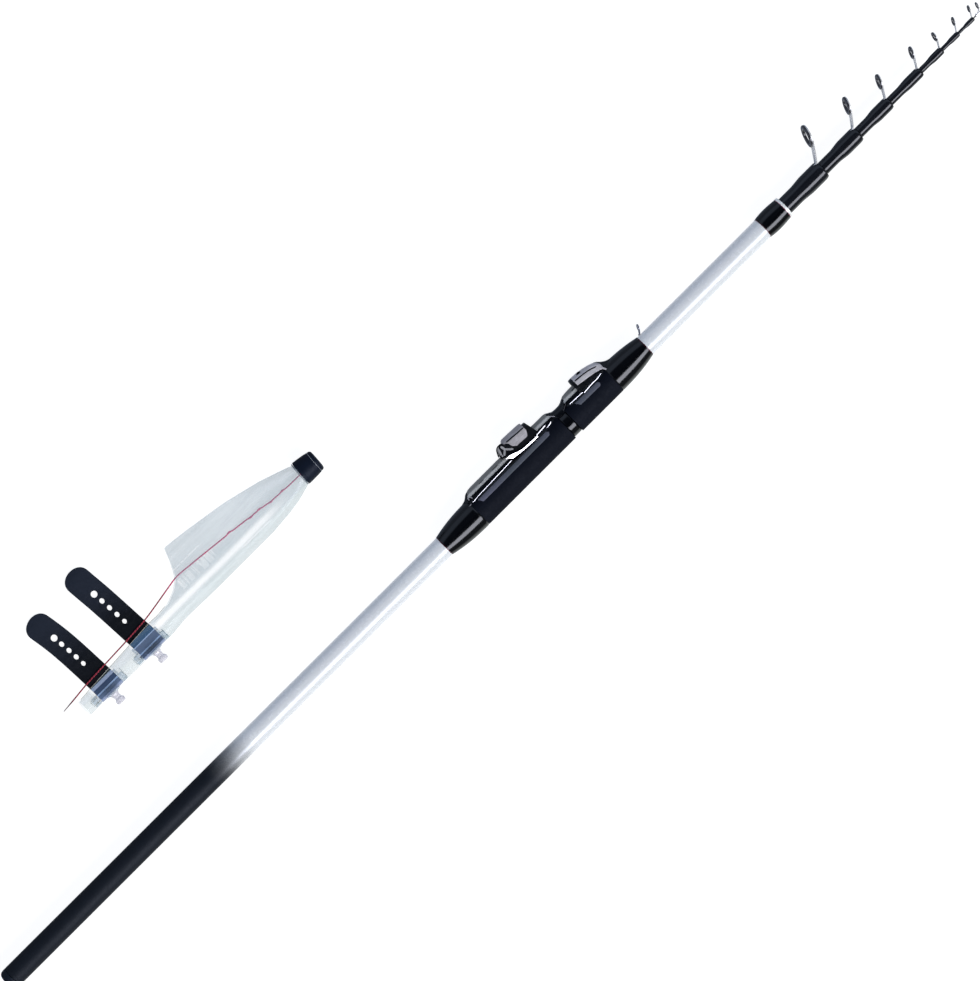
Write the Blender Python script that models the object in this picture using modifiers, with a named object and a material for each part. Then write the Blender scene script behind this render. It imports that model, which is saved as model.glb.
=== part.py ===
"""Travel fishing rod: a nine-section telescopic rod, closed, lying on its side,
with its clear tip cover lying beside it.

The rod's axis is the X axis, from the butt (X = 0) to the tip. +Y is the side
of the reel seat and the guides, +Z is up. Numbers are in millimetres and are
scaled to metres when the meshes are made.
"""

import math

import bmesh
import bpy
from mathutils import Euler, Matrix, Vector

MM = 0.001

# ---------------------------------------------------------------- dimensions

FLOOR = -11.6            # height of the surface the rod lies on
SIDES = 20               # facets of the large turned pieces

# handle
HANDLE_R = 8.0
HANDLE_BORE_R = 6.9
HANDLE_MOUTH_BORE_R = 6.6
HANDLE_START = 6.3
HANDLE_MOUTH = 767.0
CAP_PLUG_END = 16.0

REAR_CONE = (432.8, 465.2)
REAR_GRIP = (465.5, 550.6)
SEAT_NECK = (550.9, 557.6)
FRONT_GRIP = (557.9, 597.5)
FRONT_CONE = (597.8, 629.3)
GRIP_R = 11.2
CONE_R = 11.6
FIT = 0.15               # radial gap between a tube and what is glued round it

# reel seat
PLATE_HALF = 7.0
PLATE_TOP = 16.5
SEAT_TOP = 16.35         # the plate's front end, where the reel's foot rests
REAR_PLATE = (468.4, 548.8)
FRONT_PLATE = (561.0, 577.0)
LEVER_PIVOT = (508.0, 21.4)

# telescoping sections: number, base x, mouth x, outer radius at base and
# mouth, bore radius at base and mouth, radius of the whipped swell, facets
SECTIONS = [
    (2, 17.0, 805.4, 6.500, 6.15, 5.85, 5.50, 7.20, 20),
    (3, 18.5, 840.7, 5.400, 4.90, 4.85, 4.40, 5.95, 20),
    (4, 20.0, 871.7, 4.300, 3.85, 3.80, 3.40, 4.75, 20),
    (5, 21.5, 902.4, 3.300, 2.80, 2.85, 2.40, 3.70, 20),
    (6, 23.0, 923.7, 2.300, 1.80, 1.90, 1.45, 2.65, 16),
    (7, 24.5, 940.0, 1.375, 1.25, 1.07, 0.98, 2.00, 12),
    (8, 26.0, 954.9, 0.925, 0.85, 0.66, 0.63, 1.55, 12),
]
TIP_BASE, TIP_END = 27.5, 960.6
TIP_R_BASE, TIP_R_END = 0.575, 0.48

# guides: section, ring centre x and y, outer diameter, forward lean in
# degrees, wire radius, foot angle round the section in degrees
GUIDES = [
    (2, 814.8, 23.4, 17.0, 19.0, 0.72, 34.0),
    (3, 849.3, 18.9, 13.4, 24.0, 0.64, 34.0),
    (4, 877.0, 14.9, 11.4, 24.0, 0.55, 34.0),
    (5, 907.4, 13.4, 9.2, 24.0, 0.46, 34.0),
    (6, 926.6, 10.0, 7.2, 13.0, 0.38, 34.0),
    (7, 943.5, 8.3, 6.4, 26.0, 0.33, 34.0),
    (8, 957.3, 6.9, 5.2, 24.0, 0.30, 34.0),
]

# tip cover
COVER_LIFT = 0.15        # gap between the floor and what lies on it
STRAP_T = 2.0
FILM_T = 0.35
CAP_AXIS_START = (396.5, 107.0)
CAP_AXIS_TURN = -4.1     # degrees about Z
CAP_HEIGHT = 9.75        # height of the cap's axis above the floor
CORD_R = 0.5

# ------------------------------------------------------------------- scene

for ob in list(bpy.data.objects):
    bpy.data.objects.remove(ob, do_unlink=True)

PARTS = bpy.data.collections.new("travel_fishing_rod")
CUTTERS = bpy.data.collections.new("cutters")
bpy.context.scene.collection.children.link(PARTS)
bpy.context.scene.collection.children.link(CUTTERS)


def material(name, colour, roughness, metallic=0.0, transmission=0.0):
    mat = bpy.data.materials.new(name)
    mat.use_nodes = True
    shader = mat.node_tree.nodes["Principled BSDF"]
    shader.inputs["Base Color"].default_value = (*colour, 1.0)
    shader.inputs["Roughness"].default_value = roughness
    shader.inputs["Metallic"].default_value = metallic
    shader.inputs["Transmission Weight"].default_value = transmission
    return mat


COLOURS = {
    "pearl": ((0.62, 0.66, 0.78), 0.22, 0.1, 0.0),
    "black_gloss": ((0.010, 0.012, 0.018), 0.12, 0.0, 0.0),
    "black_matte": ((0.012, 0.015, 0.022), 0.65, 0.0, 0.0),
    "black_satin": ((0.012, 0.015, 0.022), 0.40, 0.0, 0.0),
    "red": ((0.45, 0.02, 0.04), 0.35, 0.3, 0.0),
    "gunmetal": ((0.30, 0.31, 0.33), 0.30, 0.9, 0.0),
    "chrome": ((0.60, 0.60, 0.63), 0.15, 1.0, 0.0),
    "ceramic": ((0.05, 0.05, 0.06), 0.18, 0.0, 0.0),
    "rubber": ((0.015, 0.017, 0.024), 0.55, 0.0, 0.0),
    "film": ((0.80, 0.85, 0.90), 0.10, 0.0, 0.9),
    "cord": ((0.45, 0.03, 0.06), 0.6, 0.0, 0.0),
}


def place(ob, kind, smooth=True):
    """Put an object in the part's collection with a material of its own."""
    PARTS.objects.link(ob)
    ob.data.materials.append(material("mat_" + ob.name, *COLOURS[kind]))
    if smooth and ob.type == "MESH":
        ob.data.shade_smooth()
    return ob


def hide_cutter(ob):
    CUTTERS.objects.link(ob)
    ob.hide_render = True
    ob.display_type = "WIRE"
    return ob


# ------------------------------------------------------------ turned pieces

def along_x(x, y=0.0, z=0.0, turn=0.0):
    """Matrix that lays a piece turned about its local Z along world X."""
    spin = Euler((0.0, math.pi / 2, 0.0)).to_matrix().to_4x4()
    yaw = Matrix.Rotation(math.radians(turn), 4, "Z")
    return Matrix.Translation(Vector((x, y, z)) * MM) @ yaw @ spin


def turned(name, kind, profile, sides=SIDES, matrix=None, start=0.0, closed=True):
    """Turn a profile of (x, radius) points about the axis.

    The points run from the front of the piece to its back along the outside,
    and, on a closed profile, forward again along the bore.
    """
    mesh = bpy.data.meshes.new(name)
    bm = bmesh.new()
    verts = [bm.verts.new((r * MM, 0.0, (x - start) * MM)) for x, r in profile]
    for a, b in zip(verts, verts[1:]):
        bm.edges.new((a, b))
    if closed:
        bm.edges.new((verts[-1], verts[0]))
    bm.to_mesh(mesh)
    bm.free()
    ob = bpy.data.objects.new(name, mesh)
    screw = ob.modifiers.new("turn", "SCREW")
    screw.axis = "Z"
    screw.angle = 2 * math.pi
    screw.steps = sides
    screw.render_steps = sides
    screw.use_merge_vertices = True
    screw.merge_threshold = 0.00001
    screw.use_smooth_shade = True
    ob.matrix_world = matrix if matrix is not None else along_x(start)
    return place(ob, kind, smooth=False)


def ring_profile(x0, x1, r_in, r_out):
    return [(x1, r_in), (x1, r_out), (x0, r_out), (x0, r_in)]


# the outer tube of the handle
turned("butt_blank", "pearl", [
    (HANDLE_MOUTH, HANDLE_MOUTH_BORE_R), (HANDLE_MOUTH, HANDLE_R),
    (HANDLE_START, HANDLE_R), (HANDLE_START, HANDLE_BORE_R),
    (HANDLE_MOUTH - 70.0, HANDLE_BORE_R),
])

# domed end cap with a plug, and a groove for the seal ring
turned("butt_cap", "black_satin", [
    (CAP_PLUG_END, 0.0), (CAP_PLUG_END, 5.9), (CAP_PLUG_END - 0.5, 6.4),
    (11.3, 6.4), (11.3, 5.5), (9.3, 5.5), (9.3, 6.4), (6.0, 6.4),
    (6.0, 8.0), (3.4, 8.0), (1.5, 7.45), (0.4, 6.3),
    (0.0, 4.8), (0.0, 0.0),
], 16, closed=False)
turned("butt_seal_ring", "rubber", [
    (10.95, 5.8), (10.95, 6.45), (10.65, 6.75), (9.95, 6.75), (9.65, 6.45), (9.65, 5.8),
])

# cones: the radius swells along a power curve
def cone_profile(small_x, big_x, small_r, big_r, steps=6):
    pts = []
    for i in range(steps + 1):
        u = (i / steps) ** 1.25
        pts.append((small_x + (big_x - small_x) * u,
                    small_r + (big_r - small_r) * (1 - (1 - u) ** 2.3)))
    return pts


rear = cone_profile(REAR_CONE[0], REAR_CONE[1] - 1.0, 8.4, CONE_R)
turned("rear_cone", "black_gloss",
       [(REAR_CONE[1], HANDLE_R + FIT), (REAR_CONE[1], CONE_R - 0.5)] + rear[::-1]
       + [(REAR_CONE[0], HANDLE_R + FIT)])
front = cone_profile(FRONT_CONE[1], FRONT_CONE[0] + 0.6, 8.4, GRIP_R)
turned("front_cone", "black_gloss",
       [(FRONT_CONE[1], HANDLE_R + FIT)] + front
       + [(FRONT_CONE[0], GRIP_R - 0.4), (FRONT_CONE[0], HANDLE_R + FIT)])
turned("rear_trim_ring", "red", ring_profile(431.6, 432.5, HANDLE_R + FIT, 8.5))
turned("front_trim_ring", "red", ring_profile(629.6, 630.4, HANDLE_R + FIT, 8.5))
turned("rear_grip", "black_matte", ring_profile(*REAR_GRIP, HANDLE_R + FIT, GRIP_R))
turned("front_grip", "black_matte", ring_profile(*FRONT_GRIP, HANDLE_R + FIT, GRIP_R))
turned("seat_neck", "black_gloss", [
    (557.6, HANDLE_R + FIT), (557.6, 10.1), (556.6, 10.5), (551.9, 10.5),
    (550.9, 10.1), (550.9, HANDLE_R + FIT)])

# barrel collar at the handle's mouth
barrel = []
for i in range(6):
    u = i / 5
    barrel.append((765.6 - u * 18.6,
                   8.35 + 0.7 * math.sin(math.pi * u ** 1.2) ** 0.8 - 0.05 * u))
turned("ferrule_collar", "black_gloss",
       [(765.6, HANDLE_R + FIT)] + barrel + [(747.0, HANDLE_R + FIT)])
turned("collar_ring", "chrome", ring_profile(765.9, 768.0, HANDLE_R + FIT, 8.5))

# ------------------------------------------------------ telescoping sections

previous_mouth = 767.4
for number, base, mouth, r_base, r_mouth, b_base, b_mouth, swell, sides in SECTIONS:
    turned(f"blank_{number}", "black_gloss", [
        (mouth, b_mouth), (mouth, r_mouth), (base, r_base), (base, b_base)], sides)
    # the swell: a smooth rise from the tube to the whipping at the mouth
    visible = mouth - previous_mouth
    x_from = previous_mouth + 0.34 * visible
    x_full = previous_mouth + 0.70 * visible
    bore = r_mouth + (r_base - r_mouth) * (mouth - x_from) / (mouth - base) + 0.06
    rise = []
    for i in range(5):
        u = i / 4
        ease = u * u * (3 - 2 * u)
        rise.append((x_from + (x_full - x_from) * u,
                     bore + 0.12 + (swell - bore - 0.12) * ease))
    lip = min(0.4, 0.25 * (swell - bore))
    turned(f"wrap_{number}", "black_gloss",
           [(mouth - 0.05, bore), (mouth - 0.05, swell - lip), (mouth - 0.05 - lip, swell)]
           + rise[::-1] + [(x_from, bore)], sides)
    previous_mouth = mouth

turned("blank_9", "black_gloss", [
    (TIP_END, 0.0), (TIP_END, TIP_R_END), (TIP_BASE, TIP_R_BASE), (TIP_BASE, 0.0)],
    12, closed=False)


# ------------------------------------------------------------------- guides

def wire(name, kind, points, radius):
    """A bent wire with capped ends through the points."""
    data = bpy.data.curves.new(name, "CURVE")
    data.dimensions = "3D"
    data.bevel_depth = radius * MM
    data.bevel_resolution = 2
    data.render_resolution_u = 0
    data.resolution_u = 1
    data.use_fill_caps = True
    data.twist_mode = "MINIMUM"
    spline = data.splines.new("POLY")
    spline.points.add(len(points) - 1)
    for sp, p in zip(spline.points, points):
        sp.co = (p[0] * MM, p[1] * MM, p[2] * MM, 1.0)
    ob = bpy.data.objects.new(name, data)
    return place(ob, kind)


def guide_path(centre, radius, lean, foot_x, foot_r, foot_angle, foot_run, steps):
    """Foot, leg, hoop, leg, foot: one wire, symmetric about the XY plane."""
    up = Vector((math.sin(lean), math.cos(lean), 0.0))
    side = Vector((0.0, 0.0, 1.0))
    mid = Vector((centre[0], centre[1], 0.0))
    fy, fz = foot_r * math.cos(foot_angle), foot_r * math.sin(foot_angle)
    gap = math.radians(26)
    half = []
    half.append(Vector((foot_x - foot_run, fy, fz)))
    half.append(Vector((foot_x - 0.12 * foot_run, fy, fz)))
    half.append(Vector((foot_x + 0.12 * foot_run, fy + 0.12 * foot_run, fz)))
    for i in range(steps + 1):
        phi = gap + (math.pi - gap) * i / steps
        half.append(mid + radius * (side * math.sin(phi) - up * math.cos(phi)))
    other = [Vector((p.x, p.y, -p.z)) for p in half[:-1]]
    return half + other[::-1]


for number, cx, cy, diameter, lean, wire_r, foot_angle in GUIDES:
    section = next(s for s in SECTIONS if s[0] == number)
    mouth, swell = section[2], section[7]
    hoop = diameter / 2 - wire_r
    foot_r = swell + wire_r + 0.15
    run = max(2.2, min(6.0, 0.36 * diameter))
    wire(f"guide_frame_{number}", "chrome",
         guide_path((cx, cy), hoop, math.radians(lean), mouth - 0.8, foot_r,
                    math.radians(foot_angle), run, 7), wire_r)
    # ceramic ring inside the hoop, turned about its own leaning axis
    r_out = hoop - wire_r - 0.12
    wall = max(0.42, 0.09 * diameter)
    half_d = max(0.42, 0.055 * diameter)
    ring = [(0.0, r_out - wall), (half_d, r_out - wall * 0.5), (half_d, r_out),
            (-half_d, r_out), (-half_d, r_out - wall * 0.5)]
    turned(f"guide_ring_{number}", "ceramic", ring, 16 if number < 5 else 12,
           matrix=along_x(cx, cy, 0.0, -lean))

# tip guide: a short tube over the tip, a wire hoop and its ring
turned("tip_top_tube", "chrome", [
    (961.6, 0.0), (961.6, 0.65), (961.2, 0.95), (956.9, 0.95), (956.9, 0.58),
    (960.9, 0.58), (960.9, 0.0)], 12, closed=False)
wire("tip_top_frame", "chrome",
      guide_path((962.8, 4.5), 2.45, math.radians(15), 960.6, 1.40, math.radians(50),
                2.6, 7), 0.30)
turned("tip_top_ring", "ceramic", [
    (0.0, 1.50), (0.45, 1.76), (0.45, 2.00), (-0.45, 2.00), (-0.45, 1.76)], 12,
    matrix=along_x(962.8, 4.5, 0.0, -15.0))

# small wire ring that holds a hook, just in front of the front cone
wire("hook_keeper", "chrome",
     guide_path((635.5, 12.7), 1.95, math.radians(14), 633.3, HANDLE_R + 0.6,
                math.radians(10), 0.9, 6), 0.42)

# ----------------------------------------------------------------- reel seat

def arch(half, y_shoulder, y_top, y_bottom, count=9, power=2.6):
    """Outline (z, y) of an arch, from its -Z foot over the top to its +Z foot."""
    # where the sides are cut off above the shoulder, the arch starts at the cut
    low = max(0.0, (y_bottom + 0.12 - y_shoulder) / (y_top - y_shoulder))
    start = math.asin(min(0.98, low ** (power / 2)))
    pts = []
    for i in range(count):
        a = math.pi - start - (math.pi - 2 * start) * i / (count - 1)
        c, s = math.cos(a), math.sin(a)
        z = half * math.copysign(abs(c) ** (2 / power), c)
        y = y_shoulder + (y_top - y_shoulder) * abs(s) ** (2 / power)
        pts.append((z, y))
    return [(pts[0][0], y_bottom)] + pts + [(pts[-1][0], y_bottom)]


def loft(name, kind, rings, place_it=True):
    """Close a row of unlike sections, each a ring of as many points, into a solid."""
    bm = bmesh.new()
    rows = [[bm.verts.new(Vector(p) * MM) for p in ring] for ring in rings]
    n = len(rows[0])
    for a, b in zip(rows, rows[1:]):
        for i in range(n):
            j = (i + 1) % n
            bm.faces.new((a[i], a[j], b[j], b[i]))
    half = n // 2
    for row, flip in ((rows[0], True), (rows[-1], False)):
        for i in range(half - 1):
            quad = (row[i], row[i + 1], row[n - 2 - i], row[n - 1 - i])
            bm.faces.new(quad[::-1] if flip else quad)
    bmesh.ops.recalc_face_normals(bm, faces=bm.faces[:])
    mesh = bpy.data.meshes.new(name)
    bm.to_mesh(mesh)
    bm.free()
    ob = bpy.data.objects.new(name, mesh)
    return place(ob, kind) if place_it else ob


def saddle(name, kind, stations):
    """An arched shell over the seat plate.

    Each station is (x, outer half width, shoulder, top, bottom, wall, dx),
    where dx moves the bottom edges forward of the top.
    """
    rings = []
    for x, half, shoulder, top, bottom, wall, dx in stations:
        outer = arch(half, shoulder, top, bottom)
        inner = arch(half - wall, shoulder, top - wall, bottom)
        rings.append([(x + dx * (top - y) / max(top - bottom, 0.1), y, z)
                      for z, y in outer + inner[::-1]])
    return loft(name, kind, rings)


def plate(name, stations):
    """A solid arched plate whose underside follows the grip."""
    rings = []
    for x, top, half in stations:
        foot = math.sqrt((GRIP_R + 0.3) ** 2 - half ** 2) + 0.1
        outer = arch(half, foot + 1.4, top, foot, 10, 2.2)
        # the middle facet is flat and lies at the stated top
        low = max(y for z, y in outer)
        outer = [(z, foot + 1.4 + (y - foot - 1.4) * (top - foot - 1.4) / (low - foot - 1.4)
                  if y > foot + 1.4 else y) for z, y in outer]
        n = len(outer)
        inner = []
        for i in range(n):
            z = half * 0.999 * (-1 + 2 * i / (n - 1))
            inner.append((z, math.sqrt((GRIP_R + 0.3) ** 2 - z * z)))
        rings.append([(x, y, z) for z, y in outer + inner[::-1]])
    return loft(name, "gunmetal", rings)


plate("rear_seat_plate", [
    (468.2, 13.6, 6.2), (468.8, 14.9, 6.7), (470.2, 15.9, 6.95), (472.6, PLATE_TOP, 7.0),
    (535.2, PLATE_TOP, 7.0), (535.6, SEAT_TOP, 7.0), (544.8, SEAT_TOP, 7.0),
    (546.8, 16.0, 6.95), (548.2, 15.2, 6.7), (548.8, 13.9, 6.2)])
plate("front_seat_plate", [
    (549.4, 12.9, 5.0), (551.4, 12.6, 5.0), (558.2, 12.6, 5.0), (560.4, 13.6, 5.8),
    (562.0, 14.9, 6.6), (564.0, 15.9, 6.95), (567.0, 16.3, 7.0),
    (571.0, PLATE_TOP, 7.0), (576.4, PLATE_TOP, 7.0), (577.0, 16.1, 6.8)])

# the sliding hood: a metal shell over a black liner
saddle("slider_hood", "gunmetal", [
    (510.2, 9.6, 18.2, 24.2, 21.2, 0.95, 0.0), (511.2, 9.6, 18.2, 24.6, 20.8, 1.0, 0.0),
    (514.0, 9.6, 18.2, 24.6, 19.0, 1.0, 0.0), (515.0, 9.6, 18.2, 24.55, 15.6, 1.0, 0.0),
    (517.2, 9.6, 18.2, 24.5, 13.5, 1.0, 0.0), (526.2, 9.6, 18.2, 24.1, 13.3, 1.0, 0.0),
    (528.2, 9.6, 18.1, 23.9, 14.6, 1.0, 0.0), (529.4, 9.6, 18.0, 23.6, 16.8, 0.95, 0.0)])
liner = saddle("slider_liner", "black_satin", [
    (510.5, 8.3, 18.0, 22.9, 12.0, 0.85, 0.0), (518.0, 8.3, 18.0, 22.9, 10.1, 0.85, 0.0),
    (529.4, 8.3, 17.9, 22.3, 9.6, 0.85, 0.0), (530.6, 8.3, 17.8, 22.2, 9.6, 0.85, 1.2),
    (532.2, 8.3, 17.8, 22.1, 9.6, 0.85, 2.6)])


def slab(name, outline, z0, z1):
    """A flat plate cut to an outline in the XY plane, as a mesh."""
    data = bpy.data.curves.new(name, "CURVE")
    data.dimensions = "2D"
    data.fill_mode = "BOTH"
    data.extrude = (z1 - z0) / 2 * MM
    data.render_resolution_u = 0
    for loop in outline:
        spline = data.splines.new("POLY")
        spline.points.add(len(loop) - 1)
        spline.use_cyclic_u = True
        for sp, p in zip(spline.points, loop):
            sp.co = (p[0] * MM, p[1] * MM, 0.0, 1.0)
    curve = bpy.data.objects.new(name + "_outline", data)
    bpy.context.scene.collection.objects.link(curve)
    curve.location.z = (z0 + z1) / 2 * MM
    graph = bpy.context.evaluated_depsgraph_get()
    mesh = bpy.data.meshes.new_from_object(curve.evaluated_get(graph))
    mesh.name = name
    bm = bmesh.new()
    bm.from_mesh(mesh)
    bmesh.ops.remove_doubles(bm, verts=bm.verts[:], dist=0.000001)
    bmesh.ops.recalc_face_normals(bm, faces=bm.faces[:])
    bm.to_mesh(mesh)
    bm.free()
    ob = bpy.data.objects.new(name, mesh)
    bpy.context.view_layer.update()
    ob.matrix_world = Matrix.Translation((0.0, 0.0, (z0 + z1) / 2 * MM))
    bpy.data.objects.remove(curve, do_unlink=True)
    return ob


def circle(cx, cy, r, n, start=0.0):
    return [(cx + r * math.cos(start + 2 * math.pi * i / n),
             cy + r * math.sin(start + 2 * math.pi * i / n)) for i in range(n)]


# two ears behind the liner carry the lever's pin
EAR = [(505.9, 22.2), (505.9, 17.8), (506.8, 15.0), (508.6, 12.9), (513.2, 11.9),
       (513.2, 17.6), (509.9, 17.8), (509.9, 22.4), (509.0, 23.2), (507.0, 23.2)]
for tag, z0, z1 in (("a", 7.45, 8.25), ("b", -8.25, -7.45)):
    ear = hide_cutter(slab("ear_" + tag, [EAR], z0, z1))
    join = liner.modifiers.new("ear_" + tag, "BOOLEAN")
    join.operation = "UNION"
    join.solver = "EXACT"
    join.object = ear

PX, PY = LEVER_PIVOT
pin = turned("lever_pin", "chrome", [(7.1, 0.0), (7.1, 0.9), (6.9, 1.1), (-6.9, 1.1),
                                     (-7.1, 0.9), (-7.1, 0.0)], 12,
             matrix=Matrix.Translation(Vector((PX, PY, 0.0)) * MM), closed=False)
LEVER = [(508.0, 23.15), (506.3, 22.9), (504.9, 21.8), (503.8, 20.2), (502.9, 18.5),
         (502.3, 16.85), (504.7, 16.85), (505.7, 18.2), (506.6, 19.5), (507.4, 19.7),
         (508.4, 19.7), (509.2, 20.2), (509.7, 21.0), (509.72, 21.8), (509.2, 22.7)]
lever = place(slab("lock_lever", [LEVER, circle(PX, PY, 1.35, 12)], -6.3, 6.3), "gunmetal")
# the lever's origin sits on the pin
shift = Matrix.Translation(Vector((-PX, -PY, 0.0)) * MM)
lever.data.transform(shift)
lever.matrix_world = Matrix.Translation(Vector((PX, PY, 0.0)) * MM)

# the fixed hood slopes down onto the front cone
saddle("front_hood", "gunmetal", [
    (575.4, 9.1, 15.8, 20.8, 14.2, 0.9, 0.0), (577.0, 9.2, 15.8, 20.9, 13.8, 0.9, 0.0),
    (582.0, 9.2, 15.6, 20.7, 13.0, 0.9, 0.0), (587.4, 9.1, 15.1, 19.9, 12.0, 0.9, 0.0),
    (592.0, 8.9, 14.4, 18.8, 11.2, 0.9, 0.0), (595.6, 8.6, 13.5, 17.5, 10.6, 0.9, 0.0),
    (597.6, 8.2, 12.8, 16.2, 10.2, 0.9, 0.0), (598.8, 7.6, 12.4, 15.0, 11.0, 0.9, 0.0)])
saddle("front_hood_liner", "black_satin", [
    (574.6, 7.9, 15.4, 19.6, 9.7, 0.55, 0.0), (582.0, 7.9, 15.4, 19.45, 9.3, 0.55, 0.0),
    (587.4, 7.8, 14.9, 18.6, 9.3, 0.55, 0.0), (592.0, 7.6, 14.1, 17.5, 9.4, 0.55, 0.0),
    (595.4, 7.3, 13.2, 16.1, 9.7, 0.55, 0.0)])

# ----------------------------------------------------------------- tip cover

# end cap: a skirt round the film's end and a solid crown
turned("cover_cap", "black_satin", [
    (15.4, 0.0), (15.4, 6.9), (14.9, 7.7), (14.0, 8.15), (9.0, 8.9), (1.0, 9.5),
    (0.0, 9.3), (0.0, 8.55), (6.4, 8.55), (6.4, 0.0)], 24, closed=False,
    matrix=along_x(CAP_AXIS_START[0], CAP_AXIS_START[1], FLOOR + CAP_HEIGHT, CAP_AXIS_TURN))


def ease(a, b, x):
    u = min(1.0, max(0.0, (x - a) / (b - a)))
    return u * u * (3 - 2 * u)


def between(table, x):
    """Value at x of a smooth line through (x, value) pairs."""
    if x <= table[0][0]:
        return table[0][1]
    for (xa, va), (xb, vb) in zip(table, table[1:]):
        if x <= xb:
            return va + (vb - va) * (x - xa) / (xb - xa)
    return table[-1][1]


# outline of the film as it lies: its straight edge, the edge of the fin, and
# the edge where the two layers are cut back to the notch
FILM_LOW = [(173.0, 91.2), (252.0, 90.6), (268.0, 92.0), (300.0, 91.4), (354.0, 91.4),
            (376.0, 94.4), (392.0, 98.0), (397.5, 99.1), (401.6, 98.9)]
FILM_FIN = [(173.0, 104.0), (200.0, 105.5), (246.0, 108.6), (262.0, 124.0), (291.8, 138.4),
            (300.0, 137.4), (313.0, 135.8), (344.5, 130.7), (372.0, 124.0), (392.0, 117.2),
            (397.5, 114.55), (401.6, 114.35)]
FILM_CUT = [(173.0, 103.4), (200.0, 104.9), (246.0, 107.6), (256.0, 107.2), (266.3, 108.6),
            (275.3, 113.0), (281.4, 117.2), (285.4, 123.4), (288.6, 130.4), (291.8, 137.8),
            (300.0, 137.0), (313.0, 135.4), (344.5, 130.4), (372.0, 123.7), (392.0, 116.9),
            (397.5, 114.4), (401.6, 114.2)]
FILM_HALF = [(173.0, 5.4), (246.0, 5.6), (275.0, 7.0), (320.0, 7.6), (372.0, 8.0),
             (397.5, 7.7), (401.6, 7.7)]
FILM_SHARP = [(173.0, 0.50), (246.0, 0.55), (276.0, 1.10), (300.0, 1.35), (344.0, 1.05),
              (376.0, 0.70), (397.5, 0.50), (401.6, 0.50)]
FILM_LIFT = [(173.0, 2.75), (252.0, 2.75), (274.0, 1.2), (300.0, 0.30), (380.0, 0.35),
             (397.5, 2.05), (401.6, 2.05)]


def film_section(x):
    low, fin = between(FILM_LOW, x), between(FILM_FIN, x)
    cut, half = between(FILM_CUT, x), between(FILM_HALF, x)
    sharp, lift = between(FILM_SHARP, x), between(FILM_LIFT, x)
    return low, fin, cut, half, sharp, FLOOR + lift + half


def film_height(x, y, side):
    """Height of the upper (side 1) or lower (side -1) layer at x, y."""
    low, fin, cut, half, sharp, mid = film_section(x)
    u = min(1.0, max(0.0, (y - low) / (fin - low)))
    peak = 0.5 / (0.5 + sharp)
    top = peak ** 0.5 * (1 - peak) ** sharp
    return mid + side * (half * (u ** 0.5 * (1 - u) ** sharp) / top + 0.35 * u)


FILM_X = [173.0, 197.0, 222.0, 246.0, 256.0, 266.3, 275.3, 281.4, 286.5, 291.8,
          302.0, 320.0, 344.5, 363.0, 380.0, 390.0, 397.5, 401.6]
ACROSS = 8

bm = bmesh.new()
bmesh.ops.create_grid(bm, x_segments=len(FILM_X) - 1, y_segments=2 * ACROSS, size=1.0)
for v in bm.verts:
    x = FILM_X[round((v.co.x + 1) / 2 * (len(FILM_X) - 1))]
    w = v.co.y                      # -1 .. 1 round the film, 0 on its straight edge
    low, fin, cut, half, sharp, mid = film_section(x)
    span = (1 - math.cos(math.pi * abs(w))) / 2 if sharp < 0.6 else abs(w) ** 1.7
    y = low + (cut - low) * span
    z = mid if w == 0 else film_height(x, y, -1 if w > 0 else 1)
    v.co = Vector((x, y, z)) * MM
mesh = bpy.data.meshes.new("cover_sleeve")
bm.to_mesh(mesh)
bm.free()
sleeve = place(bpy.data.objects.new("cover_sleeve", mesh), "film")
skin = sleeve.modifiers.new("film", "SOLIDIFY")
skin.thickness = FILM_T * MM
skin.offset = 0.0
skin.use_even_offset = True


def strap_line(way, along):
    """Point and direction at a distance from the free end along a bent centre line."""
    for a, b in zip(way, way[1:]):
        a, b = Vector(a), Vector(b)
        if along <= (b - a).length or tuple(b) == tuple(way[-1]):
            return a + (b - a).normalized() * along, (b - a).normalized()
        along -= (b - a).length


def strap_outline(way, half, count=7):
    """A bent strap with a rounded free end, from its centre line."""
    left, right = [], []
    for i in range(1, len(way)):
        here = Vector(way[i])
        run = (Vector(way[min(i + 1, len(way) - 1)]) - Vector(way[i - 1])).normalized()
        side = Vector((-run.y, run.x))
        left.append(here + side * half)
        right.append(here - side * half)
    tip = Vector(way[0])
    run = (Vector(way[1]) - tip).normalized()
    side = Vector((-run.y, run.x))
    nose = tip + run * half * 0.95
    pts = left[::-1]
    for i in range(count + 1):
        a = math.pi * i / count
        pts.append(nose + side * half * math.cos(a) - run * half * 0.95 * math.sin(a) ** 0.8)
    return [(p.x, p.y) for p in pts + right]


def strap(name, way, hole_at):
    loops = [strap_outline(way, 10.0)]
    for i, along in enumerate(hole_at):
        c, _ = strap_line(way, along)
        loops.append(circle(c.x, c.y, 2.55 if i == 0 else 2.1, 10))
    z0 = FLOOR + COVER_LIFT
    return place(slab(name, loops, z0, z0 + STRAP_T), "rubber")


strap("cover_strap_upper", [(231.7, 172.8), (232.7, 159.0), (233.9, 145.0), (234.9, 128.0),
                            (235.8, 110.0), (236.7, 92.2)], [23.0, 30.3, 37.4, 44.5, 51.6])
strap("cover_strap_lower", [(188.4, 168.9), (190.4, 157.5), (192.1, 146.0), (193.3, 132.0),
                            (194.2, 112.0), (194.9, 92.4)], [21.3, 28.1, 34.9, 41.7, 48.5])

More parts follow.
